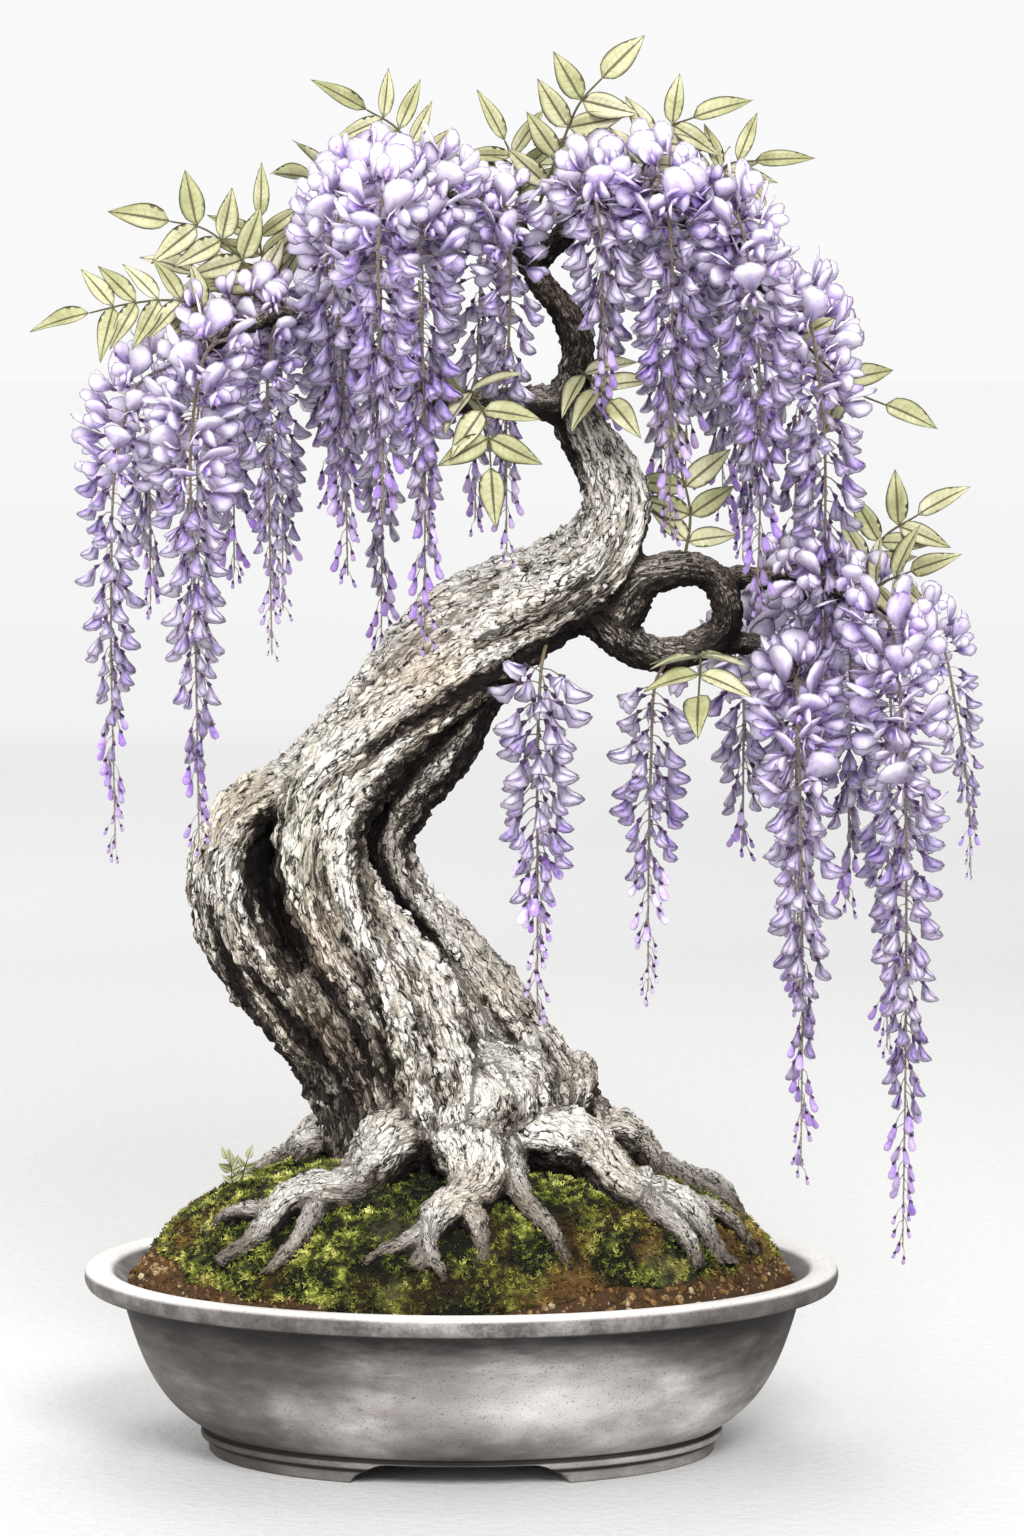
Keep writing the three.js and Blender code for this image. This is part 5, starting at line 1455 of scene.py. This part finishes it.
florets = bpy.data.collections.new("florets")
for floret in (
    open_floret("floret_0_upright", 1.05, 0.0216, 0.0152, 0.0),
    open_floret("floret_1_level", 0.62, 0.0206, 0.0168, 0.25),
    spoon_floret("floret_2_spoon", 0.0218, 0.0138, 0.0080),
    spoon_floret("floret_3_small_spoon", 0.0176, 0.0096, 0.0086),
    bud("floret_4_bud", 0.0130, 0.0028, 0.0106),
    bud("floret_5_small_bud", 0.0078, 0.0018, 0.0096),
):
    florets.objects.link(floret)


def petal_material():
    """Pale lilac petals, deeper violet towards the claw, with a dark calyx and an olive stalk."""
    petals = Finish("wisteria_petals", Roughness=0.65, Specular_IOR_Level=0.2,
                    Subsurface_Weight=0.6, Subsurface_Radius=(1.0, 0.86, 1.0),
                    Subsurface_Scale=0.014)
    part = petals.attribute("part")
    rim = petals.attribute("rim")
    shade = petals.attribute("shade")
    stage = petals.attribute("stage")
    pale = petals.ramp(rim, [
        (0.4, paint(168, 130, 220)), (0.52, paint(232, 213, 252)), (0.74, paint(244, 232, 254)),
        (0.93, paint(226, 206, 247)), (0.955, paint(108, 80, 146)), (0.98, paint(42, 28, 60)),
    ])
    deep = petals.ramp(rim, [
        (0.4, paint(82, 44, 156)), (0.54, paint(142, 100, 212)), (0.78, paint(182, 142, 242)),
        (0.92, paint(152, 110, 220)), (0.95, paint(80, 50, 132)), (0.98, paint(38, 24, 58)),
    ])
    wash = petals.noise(75.0, 3.0, 0.6)
    fine = petals.noise(420.0, 2.0, 0.5)
    # Whole clusters are paler or deeper than others, and the keel is deepest.
    cluster = petals.spread(petals.noise(17.0, 2.0, 0.5), 0.36, 0.64, -0.40, 0.34)
    depth = petals.plus(petals.times(shade, 0.50), petals.spread(wash, 0.34, 0.66, -0.58, 0.36),
                        petals.spread(stage, 0.0, 0.35, -0.05, 0.36), cluster,
                        petals.times(petals.above(part, 0.9), 0.5))
    petal = petals.mix(petals.put("ShaderNodeClamp", {0: depth}), pale, deep)
    petal = petals.mix(petals.spread(fine, 0.42, 0.7, 0.0, 0.3), petal, paint(252, 250, 254))
    # Buds are a duller violet.
    petal = petals.mix(petals.spread(stage, 0.46, 0.82, 0.0, 0.85), petal, paint(112, 86, 142))
    green = petals.mix(petals.above(part, 0.12), paint(92, 82, 60), paint(52, 38, 58))
    colour = petals.mix(petals.above(part, 0.36), green, petal)
    return petals.wear(colour, height=fine, depth=0.0004, strength=0.25)


def rod(recipe, curve, steps, radius, end_share):
    """A six-sided rod along a curve.  At its end it keeps a share of its thickness."""
    outline = recipe.put("GeometryNodeCurvePrimitiveCircle", {"Resolution": 6, "Radius": radius})
    thickness = recipe.blend(recipe.put("GeometryNodeSplineParameter"), 1.0, end_share)
    curve = recipe.put("GeometryNodeResampleCurve", {0: curve, "Count": steps})
    return recipe.put("GeometryNodeCurveToMesh",
                      {0: curve, 1: outline, "Scale": thickness, "Fill Caps": True})


def turned_to(recipe, ahead, up):
    return recipe.put("FunctionNodeAxesToRotation", {0: ahead, 1: up}, primary_axis="X",
                      secondary_axis="Z")


def raceme_recipe():
    recipe = Recipe("raceme", {
        "Floret Count": "Int", "Reach": "Float", "Bare Top": "Float", "Buds From": "Float",
        "Tip Size": "Float", "Hang": "Float", "Stem Radius": "Float", "Florets": "Collection",
        "Seed": "Int",
    })
    given = recipe.given
    golden_angle = math.radians(137.5)

    stem = rod(recipe, given["Geometry"], 48, given["Stem Radius"], 0.45)
    stem = recipe.store(stem, "part", Floret.STALK)

    spots = recipe.outputs("GeometryNodeCurveToPoints",
                           {"Curve": given["Geometry"], "Count": given["Floret Count"]})
    points, tangent, normal = (spots[name] for name in ("Points", "Tangent", "Normal"))
    index = recipe.put("GeometryNodeInputIndex")
    last = recipe.minus(given["Floret Count"], 1.0)
    share = recipe.math("DIVIDE", index, last)
    # The buds at the lower end stand wider apart: every third place there is empty.
    empty = recipe.times(recipe.above(share, 0.68),
                         recipe.math("LESS_THAN", recipe.math("MODULO", index, 3.0), 0.5))
    selection = recipe.minus(recipe.above(share, given["Bare Top"]), empty)
    selection = recipe.above(selection, 0.5)

    # Where on the stem each floret stands, and which way it looks.
    turn = recipe.times(index, golden_angle)
    turn = recipe.plus(turn, recipe.random(-0.35, 0.35, 1))
    across = recipe.vector("CROSS_PRODUCT", tangent, normal)
    out = recipe.vector("ADD", recipe.scaled(normal, recipe.math("COSINE", turn)),
                        recipe.scaled(across, recipe.math("SINE", turn)))
    droop = recipe.times(recipe.spread(share, 0.10, 0.72, -0.15, 0.78), given["Hang"])
    droop = recipe.plus(droop, recipe.random(-0.18, 0.20, 2))
    ahead = recipe.vector("ADD", recipe.scaled(out, recipe.math("COSINE", droop)),
                          recipe.scaled(tangent, recipe.math("SINE", droop)))
    up = recipe.vector("ADD", recipe.scaled(tangent, -0.4), (0.0, 0.0, 1.0))
    aside = recipe.vector("CROSS_PRODUCT", up, ahead)
    sway = recipe.blend(share, 0.9, 0.4)
    sway = recipe.times(sway, recipe.random(-1.0, 1.0, 3))
    up = recipe.vector("ADD", up, recipe.scaled(aside, sway))
    rotation = turned_to(recipe, ahead, up)

    # Open florets first, then folded ones, then buds.
    stage = recipe.plus(share, recipe.random(-0.06, 0.06, 4))
    kind = recipe.math("ROUND", recipe.random(0.0, 1.0, 5))
    for later, start in ((2, -0.34), (3, -0.04), (4, 0.14), (5, 0.29)):
        reached = recipe.above(stage, recipe.plus(given["Buds From"], start))
        kind = recipe.blend(reached, kind, float(later))
    sink = recipe.minus(1.0, recipe.math("POWER", share, 3.2))
    reach = recipe.times(recipe.blend(sink, given["Tip Size"], 1.0), given["Reach"])
    reach = recipe.times(reach, recipe.random(0.86, 1.06, 6))
    size = recipe.math("DIVIDE", reach, drawn_reach)

    flowers = recipe.scatter(points, given["Florets"], kind, rotation, size, selection)
    flowers = recipe.store(flowers, "shade", recipe.random(0.0, 1.0, 7), "INSTANCE")
    flowers = recipe.store(flowers, "stage", recipe.times(share, given["Hang"]), "INSTANCE")
    recipe.finish(recipe.join(stem, flowers), petal_material())
    return recipe


raceme = raceme_recipe()


def flower_stem(name, route, spacing, reach, bare_top, buds_from, tip_size, hang, stem_radius,
                seed):
    """A stem along a route, with its florets on it."""
    piece = raceme.make(new_curve("stem", route), name, {
        "Floret Count": round(route_length(route) / spacing), "Reach": float(reach),
        "Bare Top": float(bare_top),
        "Buds From": buds_from, "Tip Size": tip_size, "Hang": hang, "Stem Radius": stem_radius,
        "Florets": florets, "Seed": seed,
    })
    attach(piece, "root")
    return piece


for number, (fullness, route) in enumerate(raceme_routes, 1):
    # The two that hang free of the others are the fullest.
    spacing, buds_from = (full_spacing, 0.46) if number in bare_tops else (floret_spacing, 0.62)
    tip_size = usual_tip_size if fullness > 0.8 else slim_tip_size
    piece = flower_stem(f"wisteria_raceme_{number:02d}", route, spacing, raceme_reach * fullness,
                        bare_tops.get(number, usual_bare_top), buds_from, tip_size, 1.0,
                        raceme_stem_radius, 40 * number)
    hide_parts(f"raceme_{number:02d}")

for number, route in enumerate(spur_routes, 1):
    flower_stem(f"flower_spur_{number}", route, spur_spacing, spur_reach, 0.0, 3.0, spur_tip_size,
                0.0, spur_stem_radius, 2000 + 40 * number)

# ---------------------------------------------------------------- leaves
#
# Young compound leaves, olive green: a thin stalk with two to five pairs of pointed leaflets and
# one at its end.  A few small weeds with the same kind of leaf have sprouted on the left shoulder
# of the mound.

# Each leaf: its pairs of leaflets, the way its upper face looks, and the route of its stalk.
leaves = [
    # left, over the hanging racemes
    (5, (0, -1, 0.5), [(-116, -14, 597), (-144, -23, 608), (-168, -27, 607), (-190, -29, 602)]),
    (4, (0, -1, 0.3), [(-94, -4, 602), (-112, -6, 628), (-132, -8, 645), (-150, -8, 649)]),
    (4, (0, -1, 0.1), [(-90, 0, 602), (-100, 2, 620), (-104, 4, 636), (-104, 6, 651)]),
    (2, (0, -0.8, 1), [(-106, 6, 597), (-122, 12, 615), (-138, 12, 622)]),
    # top
    (4, (0, -1, 0.4), [(-16, -14, 668), (-32, -10, 696), (-48, -10, 706)]),
    (3, (0, -1, 0.1), [(31, 8, 656), (30, 14, 676), (23, 16, 691)]),
    (4, (0, -1, 0.1), [(38, 2, 650), (53, -6, 690), (62, -10, 710), (73, -10, 722)]),
    (3, (0, -1, 0.3), [(90, -14, 668), (106, -8, 696), (120, -8, 702)]),
    (3, (0, -1, 0.3), [(124, -14, 660), (138, -8, 678), (152, -8, 680)]),
    # right
    (2, (0, -1, 0.4), [(164, 2, 602), (192, 18, 574), (208, 16, 560), (222, 10, 554)]),
    (3, (0, -1, 0.4), [(208, 10, 460), (222, 16, 484), (240, 16, 496)]),
    (2, (0, -1, 0.5), [(212, 4, 456), (223, -4, 463), (234, -12, 468)]),
    (3, (0, -0.5, 1), [(122, 6, 420), (124, -36, 424), (122, -64, 408)]),
    (3, (0, -1, 0.2), [(116, -10, 471), (120, 4, 498), (114, 8, 524)]),
    # among the branches
    (4, (0, -1, 0.2), [(0, -6, 553), (6, -38, 562), (14, -52, 546), (16, -54, 524)]),
    (2, (0, -1, 0.3), [(60, 0, 574), (68, -12, 567), (77, -25, 557)]),
    # behind
    (3, (0, 1, 0.6), [(-44, 88, 650), (-62, 112, 668), (-82, 132, 674)]),
    (3, (-0.4, 0.4, 1), [(60, 20, 656), (48, 56, 684), (46, 84, 690)]),
    (3, (0, 1, 0.6), [(118, 76, 650), (134, 106, 668), (146, 130, 670)]),
    (3, (0, 1, 0.6), [(-98, 62, 594), (-112, 96, 612), (-124, 122, 614)]),
]

leaflet_length = 0.033
leaflet_half_width = 0.0077
first_pair, last_pair = 0.24, 0.93
stalk_radius = 0.0010
weed_leaflet_length, weed_leaflet_half_width, weed_stalk_radius = 0.008, 0.002, 0.0005


def leaflet():
    """A pointed leaflet, one long and one to each side, folded a little along its rib."""
    rows, columns = 8, 4
    points, ribs, faces = [], [], []
    for side in (1, -1):
        for row in range(rows + 1):
            share = row / rows
            outline = max(0.0, math.sin(math.pi * share ** 0.72)) ** 0.8
            half_width = outline * (1 - 0.35 * share ** 3)
            for column in range(columns + 1):
                across = 2 * column / columns - 1
                fold = 0.10 * abs(across) * half_width
                wave = 0.014 * math.sin(9 * share + 2 * across) * abs(across)
                sag = -0.12 * share ** 2
                thick = side * 0.008 * (1 - abs(across)) * math.sin(math.pi * share)
                points.append((share, across * half_width, fold + wave + sag + thick))
                ribs.append(abs(across))
        start = 0 if side > 0 else (rows + 1) * (columns + 1)
        for row in range(rows):
            for column in range(columns):
                a = start + row * (columns + 1) + column
                face = (a, a + columns + 1, a + columns + 2, a + 1)
                faces.append(face if side > 0 else tuple(reversed(face)))
    mesh = new_mesh("leaflet", points, faces)
    mark(mesh, "rib", ribs)
    mark(mesh, "along", [point[0] for point in points])
    shape = bmesh.new()
    shape.from_mesh(mesh)
    bmesh.ops.remove_doubles(shape, verts=shape.verts, dist=1e-5)
    bmesh.ops.recalc_face_normals(shape, faces=shape.faces)
    shape.to_mesh(mesh)
    shape.free()
    mesh.shade_smooth()
    return bpy.data.objects.new("leaflet", mesh)


def leaf_material():
    leaf = Finish("olive_leaf", Roughness=0.6, Specular_IOR_Level=0.25)
    rib = leaf.attribute("rib")
    along = leaf.attribute("along")
    shade = leaf.attribute("shade")
    wash = leaf.noise(60.0, 3.0, 0.6)
    tone = leaf.plus(leaf.times(shade, 0.45), leaf.spread(wash, 0.32, 0.68, 0.0, 0.55))
    colour = leaf.ramp(tone, [
        (0.0, paint(118, 120, 82)), (0.35, paint(150, 150, 110)), (0.7, paint(176, 174, 140)),
        (1.0, paint(200, 196, 170)),
    ])
    # Veins leave the rib at a slant, one after another.
    slant = leaf.minus(along, leaf.times(rib, 0.10))
    vein = leaf.math("ABSOLUTE", leaf.minus(leaf.math("FRACT", leaf.times(slant, 9.0)), 0.5))
    vein = leaf.times(leaf.spread(vein, 0.10, 0.0), leaf.spread(rib, 0.95, 0.2))
    colour = leaf.cover(colour, vein, 0.3, paint(112, 112, 56))
    middle = leaf.spread(rib, 0.16, 0.06)
    edge = leaf.spread(rib, 0.84, 0.95)
    colour = leaf.cover(colour, leaf.math("MAXIMUM", middle, edge), 0.88, paint(58, 52, 30))
    relief = leaf.minus(leaf.times(wash, 0.4), leaf.math("MAXIMUM", vein, middle))
    return leaf.wear(colour, height=relief, depth=0.0005, strength=0.5)


def leaf_recipe():
    recipe = Recipe("compound_leaf", {
        "Pairs": "Int", "Face": "Vector", "Leaflet": "Object", "Leaflet Length": "Float",
        "Leaflet Half Width": "Float", "Stalk Radius": "Float", "Seed": "Int",
    })
    given = recipe.given
    twice = recipe.times(given["Pairs"], 2.0)
    dots = recipe.put("GeometryNodePoints", {"Count": recipe.plus(twice, 1.0)})
    index = recipe.put("GeometryNodeInputIndex")
    is_end = recipe.above(index, recipe.minus(twice, 0.5))
    pair = recipe.math("FLOOR", recipe.math("DIVIDE", index, 2.0))
    side = recipe.minus(1.0, recipe.times(recipe.math("MODULO", index, 2.0), 2.0))
    step = recipe.math("DIVIDE", last_pair - first_pair, recipe.minus(given["Pairs"], 0.4))
    share = recipe.plus(first_pair, recipe.times(pair, step))
    share = recipe.blend(is_end, share, 1.0)
    sample = recipe.outputs("GeometryNodeSampleCurve",
                            {"Curves": given["Geometry"], "Factor": share}, mode="FACTOR")
    position, along = sample["Position"], sample["Tangent"]
    turned = recipe.vector("DOT_PRODUCT", given["Face"], along, out="Value")
    up = recipe.vector("SUBTRACT", given["Face"], recipe.scaled(along, turned))
    up = recipe.vector("NORMALIZE", up)
    aside = recipe.vector("CROSS_PRODUCT", along, up)
    lean = recipe.times(recipe.random(0.92, 1.22, 1), recipe.minus(1.0, is_end))
    ahead = recipe.vector("ADD", recipe.scaled(along, recipe.math("COSINE", lean)),
                          recipe.scaled(aside, recipe.times(side, recipe.math("SINE", lean))))
    tilt = recipe.random(-0.3, 0.3, 2)
    up = recipe.vector("ADD", up, recipe.scaled(aside, tilt))
    rotation = turned_to(recipe, ahead, up)
    size = recipe.times(recipe.spread(share, 0.0, 1.0, 0.87, 1.0), recipe.random(0.9, 1.0, 3))
    long = recipe.times(size, given["Leaflet Length"])
    wide = recipe.times(size, given["Leaflet Half Width"])
    scale = recipe.put("ShaderNodeCombineXYZ", {0: long, 1: wide, 2: long})
    dots = recipe.put("GeometryNodeSetPosition", {"Geometry": dots, "Position": position})
    leaflets = recipe.put("GeometryNodeInstanceOnPoints", {
        "Points": dots, "Rotation": rotation, "Scale": scale,
        "Instance": recipe.put("GeometryNodeObjectInfo", {0: given["Leaflet"]}, "Geometry")})
    leaflets = recipe.store(leaflets, "shade", recipe.random(0.0, 1.0, 4), "INSTANCE")
    stalk = rod(recipe, given["Geometry"], 24, given["Stalk Radius"], 0.5)
    recipe.finish(recipe.join(stalk, leaflets), leaf_material())
    return recipe


compound_leaf = leaf_recipe()
one_leaflet = leaflet()


def grow_leaf(name, pairs, face, route, longest, widest, stalk, seed):
    step = (last_pair - first_pair) / (pairs - 0.4)
    leaf = compound_leaf.make(new_curve("stalk", route), name, {
        "Pairs": pairs,
        "Face": tuple(float(value) for value in face),
        "Leaflet": one_leaflet,
        "Leaflet Length": longest,
        "Leaflet Half Width": float(min(widest, 0.48 * step * route_length(route))),
        "Stalk Radius": stalk,
        "Seed": seed,
    })
    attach(leaf, "root")
    return leaf


for number, (pairs, face, route) in enumerate(leaves, 1):
    piece = grow_leaf(f"wisteria_leaf_{number:02d}", pairs, face, route, leaflet_length,
                      leaflet_half_width, stalk_radius, 30 * number)
    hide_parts(f"leaf_{number:02d}")

for number, (x, y, lean) in enumerate(((-119, 2, -5), (-117, -1, 4), (-121, -4, -1)), 1):
    foot = float(moss_height(x, y)) - 2
    route = [(x, y, foot), (x + lean / 2, y - 1, foot + 8), (x + lean, y - 2, foot + 14)]
    grow_leaf(f"small_weed_{number}", 2, (0, -1, 0.3), route, weed_leaflet_length,
              weed_leaflet_half_width, weed_stalk_radius, 900 + number)
